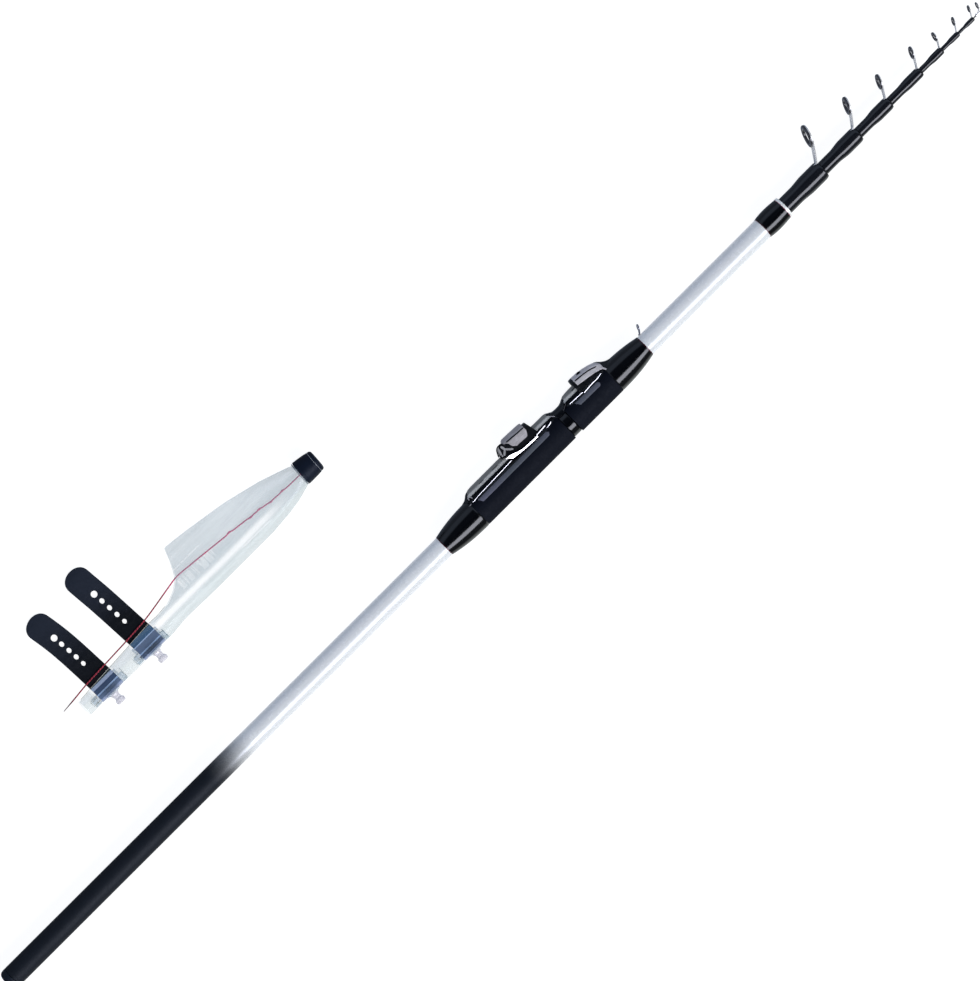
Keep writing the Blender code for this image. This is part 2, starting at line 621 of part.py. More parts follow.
# clear studs on the film's straight edge
STUD = [(0.0, 0.0), (0.0, 3.4), (0.9, 3.2), (1.8, 2.2), (4.6, 1.9), (5.0, 3.3),
        (5.6, 3.7), (8.0, 3.7), (8.6, 3.1), (8.6, 0.0)]
for name, sx in (("cover_stud_upper", 236.8), ("cover_stud_lower", 195.2)):
    face = between(FILM_LOW, sx) - FILM_T / 2 - 0.3
    down_y = (Matrix.Translation(Vector((sx, face, FLOOR + 2.75 + 5.5)) * MM)
              @ Matrix.Rotation(math.pi / 2, 4, "X"))
    turned(name, "film", [(h, r) for h, r in STUD[::-1]], 12, matrix=down_y, closed=False)

# the cord: from the cap's crown along the lower layer, out at the notch, over
# the straps beside the film
CORD_WAY = [(402.3, 105.9), (394.0, 106.0), (378.9, 106.4), (367.8, 107.4), (350.1, 109.9),
            (331.9, 111.8), (312.2, 114.4), (297.0, 115.8), (283.6, 116.6), (272.4, 114.9),
            (258.0, 112.7), (245.1, 111.2), (227.4, 110.0), (206.1, 109.2), (185.9, 108.2),
            (173.3, 106.8), (161.2, 105.4)]


def cord_height(x, y):
    inside = film_height(x, max(y, between(FILM_LOW, x) + 0.5), -1) + 0.25 + CORD_R + 0.45
    on_straps = FLOOR + COVER_LIFT + STRAP_T + CORD_R + 0.35
    on_floor = FLOOR + COVER_LIFT + CORD_R + 0.1
    outside = max(on_straps * 1.0, on_floor)
    free = ease(183.0, 168.0, x) if x < 183.0 else 0.0
    outside = outside + (on_floor - outside) * (1 - ease(168.0, 183.0, x)) if x < 183.0 else outside
    blend = ease(252.0, 277.0, x)
    return outside + (inside + 0.45 * ease(300.0, 372.0, x) - outside) * blend


def smooth_points(way, spacing):
    """Points at equal spacing along a smooth curve through the way's points."""
    pts = [Vector((x, y, 0.0)) for x, y in way]
    fine = []
    for i in range(len(pts) - 1):
        p0 = pts[max(i - 1, 0)]
        p1, p2 = pts[i], pts[i + 1]
        p3 = pts[min(i + 2, len(pts) - 1)]
        for k in range(24):
            t = k / 24
            q = 0.5 * ((2 * p1) + (p2 - p0) * t + (2 * p0 - 5 * p1 + 4 * p2 - p3) * t * t
                       + (3 * p1 - p0 - 3 * p2 + p3) * t ** 3)
            fine.append(Vector((q.x, q.y, cord_height(q.x, q.y))))
    last = pts[-1]
    fine.append(Vector((last.x, last.y, cord_height(last.x, last.y))))
    total = sum((b - a).length for a, b in zip(fine, fine[1:]))
    count = max(2, round(total / spacing))
    step = total / count
    out, gone, target = [fine[0]], 0.0, step
    for a, b in zip(fine, fine[1:]):
        seg = (b - a).length
        while seg > 0 and gone + seg >= target - 1e-9 and len(out) < count:
            out.append(a + (b - a) * ((target - gone) / seg))
            target += step
        gone += seg
    out.append(fine[-1])
    return out


wire("cover_cord", "cord", smooth_points(CORD_WAY, 3.15), CORD_R)
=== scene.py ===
import math

import bmesh
import bpy
from mathutils import Matrix, Vector, noise


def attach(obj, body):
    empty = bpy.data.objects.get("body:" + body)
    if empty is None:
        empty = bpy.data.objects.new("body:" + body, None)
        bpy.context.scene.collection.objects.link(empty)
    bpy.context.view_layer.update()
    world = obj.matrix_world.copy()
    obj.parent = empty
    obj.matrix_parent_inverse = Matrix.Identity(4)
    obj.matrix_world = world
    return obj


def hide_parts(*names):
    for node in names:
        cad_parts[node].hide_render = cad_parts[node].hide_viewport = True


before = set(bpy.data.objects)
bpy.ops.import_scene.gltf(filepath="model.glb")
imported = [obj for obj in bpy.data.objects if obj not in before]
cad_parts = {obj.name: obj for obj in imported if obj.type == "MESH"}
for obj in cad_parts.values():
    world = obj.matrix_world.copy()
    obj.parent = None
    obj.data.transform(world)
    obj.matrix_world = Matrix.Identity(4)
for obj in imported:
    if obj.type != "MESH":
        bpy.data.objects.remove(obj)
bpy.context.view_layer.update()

MM = 0.001
FLOOR = -11.6

# ============================================================== materials
# Every texture reads object coordinates, which are the rod's own frame in
# metres: X along the rod, +Y the guide side, +Z up.


class Nodes:
    """A small helper that builds one node tree."""

    def __init__(self, name):
        self.mat = bpy.data.materials.new(name)
        self.mat.use_nodes = True
        self.tree = self.mat.node_tree
        self.tree.nodes.clear()
        self.out = self.tree.nodes.new("ShaderNodeOutputMaterial")
        self.shader = self.tree.nodes.new("ShaderNodeBsdfPrincipled")
        self.link(self.shader.outputs[0], self.out.inputs["Surface"])
        self.coord = self.tree.nodes.new("ShaderNodeTexCoord").outputs["Object"]

    def link(self, a, b):
        self.tree.links.new(a, b)

    def put(self, socket, value):
        if isinstance(value, bpy.types.NodeSocket):
            self.link(value, socket)
        elif isinstance(value, tuple) and len(value) == 3 and socket.type == "RGBA":
            socket.default_value = (*value, 1.0)
        else:
            socket.default_value = value

    def set(self, **values):
        for key, value in values.items():
            self.put(self.shader.inputs[key.replace("_", " ")], value)

    def noise(self, scale, detail=3.0, rough=0.5, stretch=None, distortion=0.0):
        n = self.tree.nodes.new("ShaderNodeTexNoise")
        n.inputs["Scale"].default_value = scale
        n.inputs["Detail"].default_value = detail
        n.inputs["Roughness"].default_value = rough
        n.inputs["Distortion"].default_value = distortion
        self.link(self.mapped(stretch), n.inputs["Vector"])
        return n.outputs["Fac"]

    def mapped(self, stretch=None, turn=None):
        if stretch is None and turn is None:
            return self.coord
        m = self.tree.nodes.new("ShaderNodeMapping")
        if stretch is not None:
            m.inputs["Scale"].default_value = stretch
        if turn is not None:
            m.inputs["Rotation"].default_value = turn
        self.link(self.coord, m.inputs["Vector"])
        return m.outputs[0]

    def voronoi(self, scale, feature="F1", stretch=None, out="Distance"):
        n = self.tree.nodes.new("ShaderNodeTexVoronoi")
        n.feature = feature
        n.inputs["Scale"].default_value = scale
        self.link(self.mapped(stretch), n.inputs["Vector"])
        return n.outputs[out]

    def wave(self, scale, axis="X", distortion=0.0, detail=0.0, turn=None, profile="SIN"):
        n = self.tree.nodes.new("ShaderNodeTexWave")
        n.bands_direction = axis
        n.wave_profile = profile
        n.inputs["Scale"].default_value = scale
        n.inputs["Distortion"].default_value = distortion
        n.inputs["Detail"].default_value = detail
        self.link(self.mapped(None, turn), n.inputs["Vector"])
        return n.outputs["Fac"]

    def axis(self, which):
        n = self.tree.nodes.new("ShaderNodeSeparateXYZ")
        self.link(self.coord, n.inputs[0])
        return n.outputs[which]

    def map(self, value, a, b, low=0.0, high=1.0, smooth=False):
        n = self.tree.nodes.new("ShaderNodeMapRange")
        n.interpolation_type = "SMOOTHSTEP" if smooth else "LINEAR"
        self.link(value, n.inputs["Value"])
        n.inputs["From Min"].default_value = a
        n.inputs["From Max"].default_value = b
        n.inputs["To Min"].default_value = low
        n.inputs["To Max"].default_value = high
        return n.outputs["Result"]

    def math(self, kind, a, b=None, clamp=False):
        n = self.tree.nodes.new("ShaderNodeMath")
        n.operation = kind
        n.use_clamp = clamp
        self.put(n.inputs[0], a)
        if b is not None:
            self.put(n.inputs[1], b)
        return n.outputs[0]

    def mix(self, fac, a, b):
        n = self.tree.nodes.new("ShaderNodeMix")
        n.data_type = "RGBA"
        self.put(n.inputs["Factor"], fac)
        for key, value in (("A", a), ("B", b)):
            socket = next(s for s in n.inputs if s.name == key and s.type == "RGBA")
            self.put(socket, value)
        return next(s for s in n.outputs if s.type == "RGBA")

    def bump(self, height, strength=0.2, distance=0.0002, under=None):
        n = self.tree.nodes.new("ShaderNodeBump")
        n.inputs["Strength"].default_value = strength
        n.inputs["Distance"].default_value = distance
        self.link(height, n.inputs["Height"])
        if under is not None:
            self.link(under, n.inputs["Normal"])
        return n.outputs["Normal"]


def pearl_tube():
    """Pearl white lacquer, airbrushed into satin black towards the butt."""
    m = Nodes("pearl_lacquer")
    x = m.axis("X")
    mist = m.math("ADD", x, m.map(m.noise(1500, 2.0, 0.7), 0.0, 1.0, -0.005, 0.005))
    mist = m.math("ADD", mist, m.map(m.noise(45, 2.0), 0.0, 1.0, -0.005, 0.005))
    white = m.map(mist, 0.199, 0.243, 0.0, 1.0, smooth=True)
    cover = m.math("POWER", white, 1.7)
    flake = m.voronoi(3800, out="Color")
    flake_value = m.tree.nodes.new("ShaderNodeSeparateColor")
    m.link(flake, flake_value.inputs[0])
    glint = m.map(flake_value.outputs[0], 0.0, 1.0, 0.0, 1.0)
    pearl = m.mix(glint, (0.700, 0.735, 0.785), (0.770, 0.800, 0.840))
    pearl = m.mix(m.map(m.noise(26, 3.0), 0.3, 0.7, 0.0, 0.35), pearl, (0.735, 0.755, 0.815))
    # painted light: the tube's +Y edge is lightened towards (0.97, 0.97, 0.96), standing in for the
    # floor's bounce on that side
    pearl = m.mix(m.map(m.axis("Y"), 0.0064, 0.0078, 0.0, 0.85, smooth=True), pearl,
                  (0.97, 0.97, 0.96))
    black = m.mix(m.noise(140, 3.0), (0.0035, 0.0058, 0.0105), (0.0055, 0.0085, 0.0150))
    m.set(Base_Color=m.mix(cover, black, pearl))
    m.set(Metallic=m.map(white, 0.0, 1.0, 0.0, 0.085))
    rough = m.map(m.noise(420, 3.0), 0.3, 0.7, -0.03, 0.03)
    m.set(Roughness=m.math("ADD", m.map(white, 0.0, 0.8, 0.58, 0.26), rough))
    m.set(Specular_IOR_Level=0.17)
    m.set(Normal=m.bump(m.noise(1500, 2.0), 0.05, 0.00006))
    return m.mat


def gloss_black(name="gloss_black", thread=False, tint=(0.0016, 0.0021, 0.0038)):
    """Black lacquer. With thread, fine windings show under the clear coat."""
    m = Nodes(name)
    deep = tuple(c * 0.5 for c in tint)
    m.set(Base_Color=m.mix(m.noise(95, 4.0), deep, tint))
    m.set(Roughness=m.map(m.noise(260, 4.0), 0.3, 0.75, 0.11, 0.18))
    m.set(Specular_IOR_Level=0.52)
    dust = m.noise(2600, 2.0)
    normal = m.bump(dust, 0.04, 0.00004)
    if thread:
        winding = m.wave(2100 / (2 * math.pi), "X", 0.12, 1.0)
        normal = m.bump(winding, 0.10, 0.00005, normal)
    m.set(Normal=normal)
    return m.mat


def satin_black(name, colour, rough, grain=900, depth=0.00006, shine=0.30):
    m = Nodes(name)
    lift = tuple(min(1.0, c * 1.65) for c in colour)
    m.set(Base_Color=m.mix(m.noise(120, 4.0), colour, lift))
    m.set(Roughness=m.map(m.noise(340, 3.0), 0.3, 0.7, rough - 0.06, rough + 0.07))
    m.set(Specular_IOR_Level=shine)
    m.set(Normal=m.bump(m.noise(grain, 3.0), 0.16, depth))
    return m.mat


def grip_foam():
    """Dense black foam: a fine closed-cell skin, dull, a little bluish."""
    m = Nodes("grip_foam")
    cells = m.voronoi(1500)
    tone = m.mix(m.noise(70, 4.0), (0.0010, 0.0022, 0.0064), (0.0022, 0.0036, 0.0088))
    m.set(Base_Color=m.mix(m.map(cells, 0.0, 0.6, 0.25, 0.0), tone, (0.005, 0.008, 0.016)))
    m.set(Roughness=m.map(m.noise(500, 3.0), 0.3, 0.7, 0.66, 0.80))
    m.set(Specular_IOR_Level=0.10)
    m.set(Normal=m.bump(m.noise(700, 4.0), 0.10, 0.00008, m.bump(cells, 0.20, 0.00008)))
    return m.mat


def brushed(name, dark, light, rough=0.34, metal=0.75, y_painted_shade=None, axis_stretch=(0.035, 1.0, 1.0)):
    """Smoke-plated metal, brushed along the rod, with paler rubbed spots; optionally darkened above a
    given height as painted shade.
    """
    m = Nodes(name)
    grain = m.noise(5200, 2.0, 0.6, stretch=axis_stretch)
    blotch = m.noise(150, 4.0, 0.55)
    tone = m.mix(m.map(grain, 0.3, 0.7), dark, light)
    tone = m.mix(m.map(blotch, 0.45, 0.75, 0.0, 0.35), tone, tuple(min(1.0, c * 1.25) for c in light))
    # painted shade: above the given height the tone darkens, standing in for less light on the upper
    # facets
    if y_painted_shade is not None:
        low, high, amount = y_painted_shade
        tone = m.mix(m.map(m.axis("Y"), low, high, 0.0, amount, smooth=True), tone,
                     tuple(c * 0.45 for c in dark))
    m.set(Base_Color=tone, Metallic=metal)
    m.set(Roughness=m.map(grain, 0.3, 0.7, rough - 0.07, rough + 0.08))
    m.set(Normal=m.bump(grain, 0.09, 0.00003))
    return m.mat


def polished(name="polished_steel", colour=(0.78, 0.78, 0.80), rough=0.14):
    m = Nodes(name)
    m.set(Base_Color=m.mix(m.noise(700, 3.0), tuple(c * 0.86 for c in colour), colour))
    m.set(Metallic=1.0, Roughness=m.map(m.noise(380, 3.0), 0.3, 0.7, rough - 0.05, rough + 0.06))
    m.set(Normal=m.bump(m.noise(1900, 2.0), 0.05, 0.00003))
    return m.mat


def ceramic():
    m = Nodes("guide_ceramic")
    m.set(Base_Color=m.mix(m.noise(800, 3.0), (0.020, 0.020, 0.026), (0.045, 0.044, 0.052)))
    m.set(Roughness=m.map(m.noise(900, 2.0), 0.3, 0.7, 0.08, 0.15), Specular_IOR_Level=0.75)
    m.set(Normal=m.bump(m.noise(2500, 2.0), 0.03, 0.00003))
    return m.mat


def red_line(name="red_trim", colour=(0.30, 0.012, 0.035)):
    m = Nodes(name)
    m.set(Base_Color=m.mix(m.noise(1400, 3.0), tuple(c * 0.6 for c in colour), colour))
    m.set(Metallic=0.35, Roughness=m.map(m.noise(900, 2.0), 0.3, 0.7, 0.22, 0.36), Coat_Weight=0.4)
    m.set(Normal=m.bump(m.wave(2300 / (2 * math.pi), "X", 0.1), 0.10, 0.00004))
    return m.mat


def rubber():
    """Strap rubber: satin, slightly bluer and paler towards the free ends."""
    m = Nodes("strap_rubber")
    fade = m.map(m.axis("Y"), 0.112, 0.168, 0.0, 1.0, smooth=True)
    fade = m.math("ADD", fade, m.map(m.noise(38, 3.0), 0.3, 0.7, -0.16, 0.16), clamp=True)
    near = m.mix(m.noise(300, 3.0), (0.0016, 0.0026, 0.0046), (0.0030, 0.0042, 0.0070))
    far = m.mix(m.noise(300, 3.0), (0.0105, 0.0150, 0.0270), (0.0150, 0.0205, 0.0350))
    m.set(Base_Color=m.mix(fade, near, far))
    m.set(Roughness=m.map(m.noise(520, 4.0), 0.3, 0.7, 0.44, 0.60), Specular_IOR_Level=0.16)
    m.set(Normal=m.bump(m.noise(2300, 3.0), 0.14, 0.00005))
    return m.mat


def film(name="clear_film"):
    """Clear soft film: a pale blue-grey veil, made almost clear along the crown of its tube as a painted
    highlight, the white floor showing through.
    """
    m = Nodes(name)
    y, x = m.axis("Y"), m.axis("X")
    wander = m.math("ADD", y, m.map(m.noise(11, 2.0, stretch=(1.0, 0.2, 0.2)), 0.3, 0.7,
                                    -0.0008, 0.0008))
    crumple = m.noise(30, 4.0, 0.55, stretch=(0.40, 1.2, 1.2), distortion=0.6)
    streak = m.noise(110, 3.0, 0.6, stretch=(0.08, 1.0, 1.0), distortion=0.3)
    glint = m.noise(260, 2.0, 0.5, stretch=(1.0, 0.10, 0.3), distortion=0.4)

    def band(value, a, b, soft):
        return m.math("MULTIPLY", m.map(value, a - soft, a + soft, 0.0, 1.0, smooth=True),
                      m.map(value, b + soft, b - soft, 0.0, 1.0, smooth=True))

    crease_line = m.math("ADD", m.math("MULTIPLY", x, -0.098), 0.1166 + 0.2836 * 0.098)
    above = m.math("SUBTRACT", wander, crease_line)
    fin = m.map(above, -0.0008, 0.0010, 0.0, 1.0, smooth=True)
    far = m.map(x, 0.385, 0.350, 0.0, 1.0, smooth=True)
    # painted highlight: along the tube's crown the veil drops so the white floor shows through as the
    # highlight
    white = m.math("MULTIPLY", band(wander, 0.0998, 0.1046, 0.0017), far)
    white = m.math("MULTIPLY", white, m.map(x, 0.234, 0.252, 0.15, 1.0, smooth=True))
    low = m.map(wander, 0.1003, 0.0975, 0.0, 1.0, smooth=True)
    tube = m.math("ADD", band(x, 0.1838, 0.2062, 0.0005), band(x, 0.2258, 0.2478, 0.0005),
                  clamp=True)
    neck_end = m.map(x, 0.268, 0.250, 0.0, 1.0, smooth=True)
    veil = m.math("ADD", 0.35, m.math("MULTIPLY", fin, -0.05))
    veil = m.math("ADD", veil, m.math("MULTIPLY", white, -0.27))
    veil = m.math("ADD", veil, m.math("MULTIPLY", low, -0.08))
    veil = m.math("ADD", veil, m.math("MULTIPLY", neck_end, m.map(crumple, 0.40, 0.62, -0.05, 0.09)))
    veil = m.math("ADD", veil, m.map(crumple, 0.3, 0.7, -0.055, 0.055))
    veil = m.math("ADD", veil, m.map(streak, 0.45, 0.75, 0.02, -0.06))
    veil = m.math("ADD", veil, m.math("MULTIPLY", fin, m.map(x, 0.330, 0.385, 0.0, 0.055)))
    # painted highlights: a light line on the tube, one along the fin's fold and short glint slivers near
    # the notch, all made clearer in the veil
    line = m.math("MULTIPLY", band(y, 0.0986, 0.0992, 0.0002), band(x, 0.331, 0.358, 0.002))
    fold = m.math("MULTIPLY", band(y, 0.1217, 0.1223, 0.0002), band(x, 0.285, 0.310, 0.002))
    slivers = m.math("MULTIPLY", band(x, 0.281, 0.314, 0.002), band(y, 0.1075, 0.1150, 0.0008))
    slivers = m.math("MULTIPLY", slivers, m.map(glint, 0.52, 0.57, 0.0, 2.0))
    painted_glints = m.math("ADD", m.math("ADD", line, fold), slivers, clamp=True)
    veil = m.math("ADD", veil, m.math("MULTIPLY", painted_glints, -0.17))
    neck = m.math("ADD", 0.075, m.map(crumple, 0.3, 0.7, -0.03, 0.03))
    veil = m.math("ADD", m.math("MULTIPLY", veil, m.math("SUBTRACT", 1.0, tube)),
                  m.math("MULTIPLY", neck, tube))
    veil = m.math("MAXIMUM", veil, 0.012)
    tone = m.mix(m.map(crumple, 0.36, 0.66), (0.345, 0.462, 0.530), (0.405, 0.505, 0.565))
    tone = m.mix(low, tone, (0.345, 0.485, 0.505))
    tone = m.mix(tube, tone, (0.400, 0.545, 0.590))
    m.set(Base_Color=tone, Alpha=veil)
    m.set(Roughness=m.map(streak, 0.3, 0.7, 0.18, 0.30), Specular_IOR_Level=0.5)
    fine = m.noise(170, 3.0, 0.55, stretch=(0.3, 1.0, 1.0), distortion=0.4)
    m.set(Normal=m.bump(fine, 0.12, 0.0003, m.bump(crumple, 0.30, 0.0010)))
    return m.mat


def clear_plastic(name="clear_plastic", alpha=0.42, colour=(0.60, 0.655, 0.735)):
    m = Nodes(name)
    cloud = m.noise(210, 4.0)
    m.set(Base_Color=m.mix(cloud, tuple(c * 0.86 for c in colour), colour))
    m.set(Alpha=m.map(cloud, 0.3, 0.7, alpha - 0.06, alpha + 0.08))
    m.set(Roughness=m.map(m.noise(500, 3.0), 0.3, 0.7, 0.10, 0.24), Specular_IOR_Level=0.7)
    m.set(Normal=m.bump(m.noise(420, 3.0), 0.12, 0.0002))
    return m.mat


def cord_red():
    """Twisted fine cord, dark red, darker at its loose end."""
    m = Nodes("twisted_cord")
    strands = m.wave(1150 / (2 * math.pi), "X", 0.5, 1.0, turn=(0.0, 0.0, math.radians(38)))
    fuzz = m.noise(2600, 3.0)
    tone = m.mix(m.map(strands, 0.2, 0.8), (0.140, 0.006, 0.018), (0.420, 0.022, 0.052))
    tone = m.mix(m.map(fuzz, 0.5, 0.75, 0.0, 0.35), tone, (0.46, 0.070, 0.105))
    # painted light: inside the sleeve the cord is painted pink, standing in for the film's milky veil
    # over it
    inside = m.map(m.axis("X"), 0.262, 0.280, 0.0, 1.0, smooth=True)
    pink = m.mix(m.map(strands, 0.2, 0.8), (0.480, 0.022, 0.105), (0.780, 0.080, 0.225))
    tone = m.mix(inside, tone, pink)
    end = m.map(m.axis("X"), 0.1755, 0.1650, 0.0, 0.85, smooth=True)
    m.set(Base_Color=m.mix(end, tone, (0.030, 0.020, 0.026)))
    m.set(Roughness=m.map(fuzz, 0.3, 0.7, 0.55, 0.75), Sheen_Weight=0.1, Specular_IOR_Level=0.3)
    m.set(Normal=m.bump(fuzz, 0.20, 0.00008, m.bump(strands, 0.5, 0.00012)))
    return m.mat


def lip_painted_highlight():
    """Satin moulded edge along the grip; its pale grey-blue is a painted highlight on the grip's facet,
    paler and bluer in its middle.
    """
    m = Nodes("lip_highlight_satin")
    blotch = m.noise(55, 3.0, 0.5, stretch=(0.5, 1.0, 1.0))
    m.set(Base_Color=m.mix(m.map(blotch, 0.35, 0.7), (0.086, 0.098, 0.120), (0.118, 0.120, 0.175)))
    m.set(Roughness=m.map(m.noise(600, 3.0), 0.3, 0.7, 0.40, 0.54), Specular_IOR_Level=0.3)
    m.set(Normal=m.bump(m.noise(900, 3.0), 0.12, 0.00005))
    return m.mat


def guide_wire_metal():
    """Bright silver wire, rubbed to a softer finish than the rings."""
    m = Nodes("guide_wire_metal")
    m.set(Base_Color=m.mix(m.noise(900, 3.0), (0.70, 0.71, 0.73), (0.86, 0.86, 0.88)))
    m.set(Metallic=0.45, Roughness=m.map(m.noise(700, 3.0), 0.3, 0.7, 0.24, 0.36))
    m.set(Normal=m.bump(m.noise(2400, 2.0), 0.06, 0.00003))
    return m.mat


def ring_pearl():
    """White pearl ring, smooth and bright."""
    m = Nodes("collar_pearl")
    m.set(Base_Color=m.mix(m.noise(900, 3.0), (0.80, 0.84, 0.86), (0.92, 0.95, 0.95)))
    m.set(Metallic=0.12, Roughness=m.map(m.noise(600, 3.0), 0.3, 0.7, 0.22, 0.34))
    m.set(Normal=m.bump(m.noise(1500, 2.0), 0.05, 0.00004))
    return m.mat


def smoke_strap(name, low, high, edge):
    """Rubber seen under the clip: a slate blue skin, lighter towards one edge."""
    m = Nodes(name)
    tone = m.mix(m.map(m.axis("Y"), edge[0], edge[1], 0.0, 1.0, smooth=True), low, high)
    tone = m.mix(m.map(m.noise(420, 3.0, stretch=(0.2, 1.0, 1.0)), 0.45, 0.75, 0.0, 0.4), tone,
                 tuple(c * 1.5 for c in high))
    m.set(Base_Color=tone, Specular_IOR_Level=0.3)
    m.set(Roughness=m.map(m.noise(520, 4.0), 0.3, 0.7, 0.40, 0.56))
    m.set(Normal=m.bump(m.noise(1500, 3.0), 0.12, 0.00005))
    return m.mat


PEARL = pearl_tube()
GLOSS = gloss_black()
THREAD = gloss_black("whipped_thread", thread=True, tint=(0.0085, 0.0100, 0.0150))
BUTT_SATIN = satin_black("butt_satin", (0.0030, 0.0054, 0.0108), 0.52, shine=0.16)
LINER = satin_black("liner_black", (0.0018, 0.0024, 0.0040), 0.30, 1300, shine=0.4)
BED_BLACK = satin_black("bed_black", (0.0012, 0.0017, 0.0030), 0.24, 1300, shine=0.4)
CAP_BLACK = satin_black("cap_black", (0.0036, 0.0064, 0.0145), 0.46, 900, 0.00010, shine=0.09)
SEAL = satin_black("seal_rubber", (0.0100, 0.0110, 0.0130), 0.55)
FOAM = grip_foam()
# plate and hood get painted shade: darker above a height, where their upper facets catch less light
GUN_PLATE = brushed("gunmetal_plate", (0.330, 0.330, 0.325), (0.690, 0.690, 0.680), 0.44, 0.36,
                    y_painted_shade=(0.0131, 0.0142, 0.80))
GUN_HOOD = brushed("gunmetal_hood", (0.300, 0.288, 0.308), (0.590, 0.565, 0.605), 0.42, 0.36,
                   y_painted_shade=(0.0196, 0.0206, 0.34))
GUN_FRONT = brushed("gunmetal_front", (0.345, 0.335, 0.365), (0.660, 0.645, 0.690), 0.42, 0.34)
GUN_LEVER = brushed("gunmetal_lever", (0.270, 0.270, 0.290), (0.520, 0.520, 0.550), 0.36, 0.45)
STEEL = polished()
RIM = polished("rim_steel", (0.50, 0.50, 0.53), 0.26)
DIM_EDGE = polished("dim_edge", (0.105, 0.105, 0.115), 0.34)
BRIGHT = polished("bright_edge", (0.90, 0.90, 0.92), 0.20)
CHROME = guide_wire_metal()
CERAMIC = ceramic()
KEEPER = polished("keeper_steel", (0.44, 0.44, 0.50), 0.28)
RED = red_line(colour=(0.060, 0.004, 0.015))
RING_PEARL = ring_pearl()
RED_PALE = red_line("red_trim_pale", (0.60, 0.22, 0.30))
RUBBER = rubber()
FILM = film()
CLEAR = clear_plastic("stud_plastic", 0.62, (0.830, 0.810, 0.900))
CLIP = clear_plastic("clip_plastic", 0.50, (0.60, 0.70, 0.82))
SMOKE = {
    "mist": smoke_strap("smoke_mist", (0.560, 0.580, 0.700), (0.420, 0.460, 0.620), (0.090, 0.092)),
    "deep": smoke_strap("smoke_deep", (0.014, 0.060, 0.150), (0.024, 0.078, 0.172), (0.101, 0.108)),
    # painted highlight: the thin pale 'line' bands lie along the clip's raised ridges where light
    # catches them
    "line": smoke_strap("smoke_line_highlight", (0.250, 0.370, 0.600), (0.300, 0.420, 0.640), (0.094, 0.103)),
    "slate": smoke_strap("smoke_slate", (0.072, 0.112, 0.215), (0.090, 0.128, 0.230), (0.096, 0.102)),
    "dusk": smoke_strap("smoke_dusk", (0.028, 0.050, 0.125), (0.018, 0.040, 0.110), (0.092, 0.101)),
    "haze": smoke_strap("smoke_haze", (0.480, 0.520, 0.660), (0.300, 0.360, 0.560), (0.090, 0.093)),
    "lavender": smoke_strap("smoke_lavender", (0.320, 0.385, 0.560), (0.230, 0.290, 0.430),
                            (0.1010, 0.1045)),
}
CLIP_EDGE = satin_black("clip_edge", (0.170, 0.210, 0.250), 0.4)
SEAM = satin_black("film_seam", (0.300, 0.310, 0.285), 0.4)
CORD_MAT = cord_red()
LIP = lip_painted_highlight()

# =============================================================== mesh tools


def finish_mesh(name, bm, mat, body, replaces=(), sharp=34.0, smooth=True):
    bmesh.ops.recalc_face_normals(bm, faces=bm.faces[:])
    mesh = bpy.data.meshes.new(name)
    bm.to_mesh(mesh)
    bm.free()
    return wrap_mesh(name, mesh, mat, body, replaces, sharp, smooth)


def wrap_mesh(name, mesh, mat, body, replaces=(), sharp=34.0, smooth=True):
    ob = bpy.data.objects.new(name, mesh)
    bpy.context.scene.collection.objects.link(ob)
    mesh.materials.append(mat)
    if smooth:
        mesh.shade_smooth()
        mesh.set_sharp_from_angle(angle=math.radians(sharp))
    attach(ob, body)
    if replaces:
        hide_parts(*replaces)
    return ob


def fillet(points, radius, closed, steps=3):
    """Round the corners of a profile."""
    n = len(points)
    out = []
    for i, p in enumerate(points):
        if not closed and i in (0, n - 1):
            out.append(p)
            continue
        a, b = Vector(points[(i - 1) % n]), Vector(points[(i + 1) % n])
        c = Vector(p)
        u, v = a - c, b - c
        if u.length < 1e-9 or v.length < 1e-9:
            out.append(p)
            continue
        cosine = max(-1.0, min(1.0, u.normalized().dot(v.normalized())))
        angle = math.acos(cosine)
        if angle > math.radians(165):
            out.append(p)
            continue
        cut = min(radius / math.tan(angle / 2), 0.42 * u.length, 0.42 * v.length)
        start, end = c + u.normalized() * cut, c + v.normalized() * cut
        for k in range(steps + 1):
            t = k / steps
            q = start * (1 - t) ** 2 + c * 2 * t * (1 - t) + end * t * t
            out.append((q.x, q.y))
    return out


def turned(name, body, mat, profile, segs=64, radius=0.18, closed=True, matrix=None,
           replaces=(), sharp=34.0, steps=3):
    """Turn (x, r) points about the rod's axis, or about matrix's X axis."""
    profile = fillet(profile, radius, closed, steps)
    bm = bmesh.new()
    rings = []
    for x, r in profile:
        if r < 1e-6:
            rings.append([bm.verts.new((x, 0.0, 0.0))])
        else:
            rings.append([bm.verts.new((x, r * math.cos(2 * math.pi * k / segs),
                                        r * math.sin(2 * math.pi * k / segs)))
                          for k in range(segs)])
    pairs = list(zip(rings, rings[1:]))
    if closed:
        pairs.append((rings[-1], rings[0]))
    for a, b in pairs:
        if len(a) == 1 and len(b) == 1:
            continue
        for k in range(segs):
            j = (k + 1) % segs
            if len(a) == 1:
                bm.faces.new((a[0], b[j], b[k]))
            elif len(b) == 1:
                bm.faces.new((a[k], a[j], b[0]))
            else:
                bm.faces.new((a[k], a[j], b[j], b[k]))
    m = Matrix.Scale(MM, 4)
    if matrix is not None:
        m = m @ matrix
    bm.transform(m)
    return finish_mesh(name, bm, mat, body, replaces, sharp)


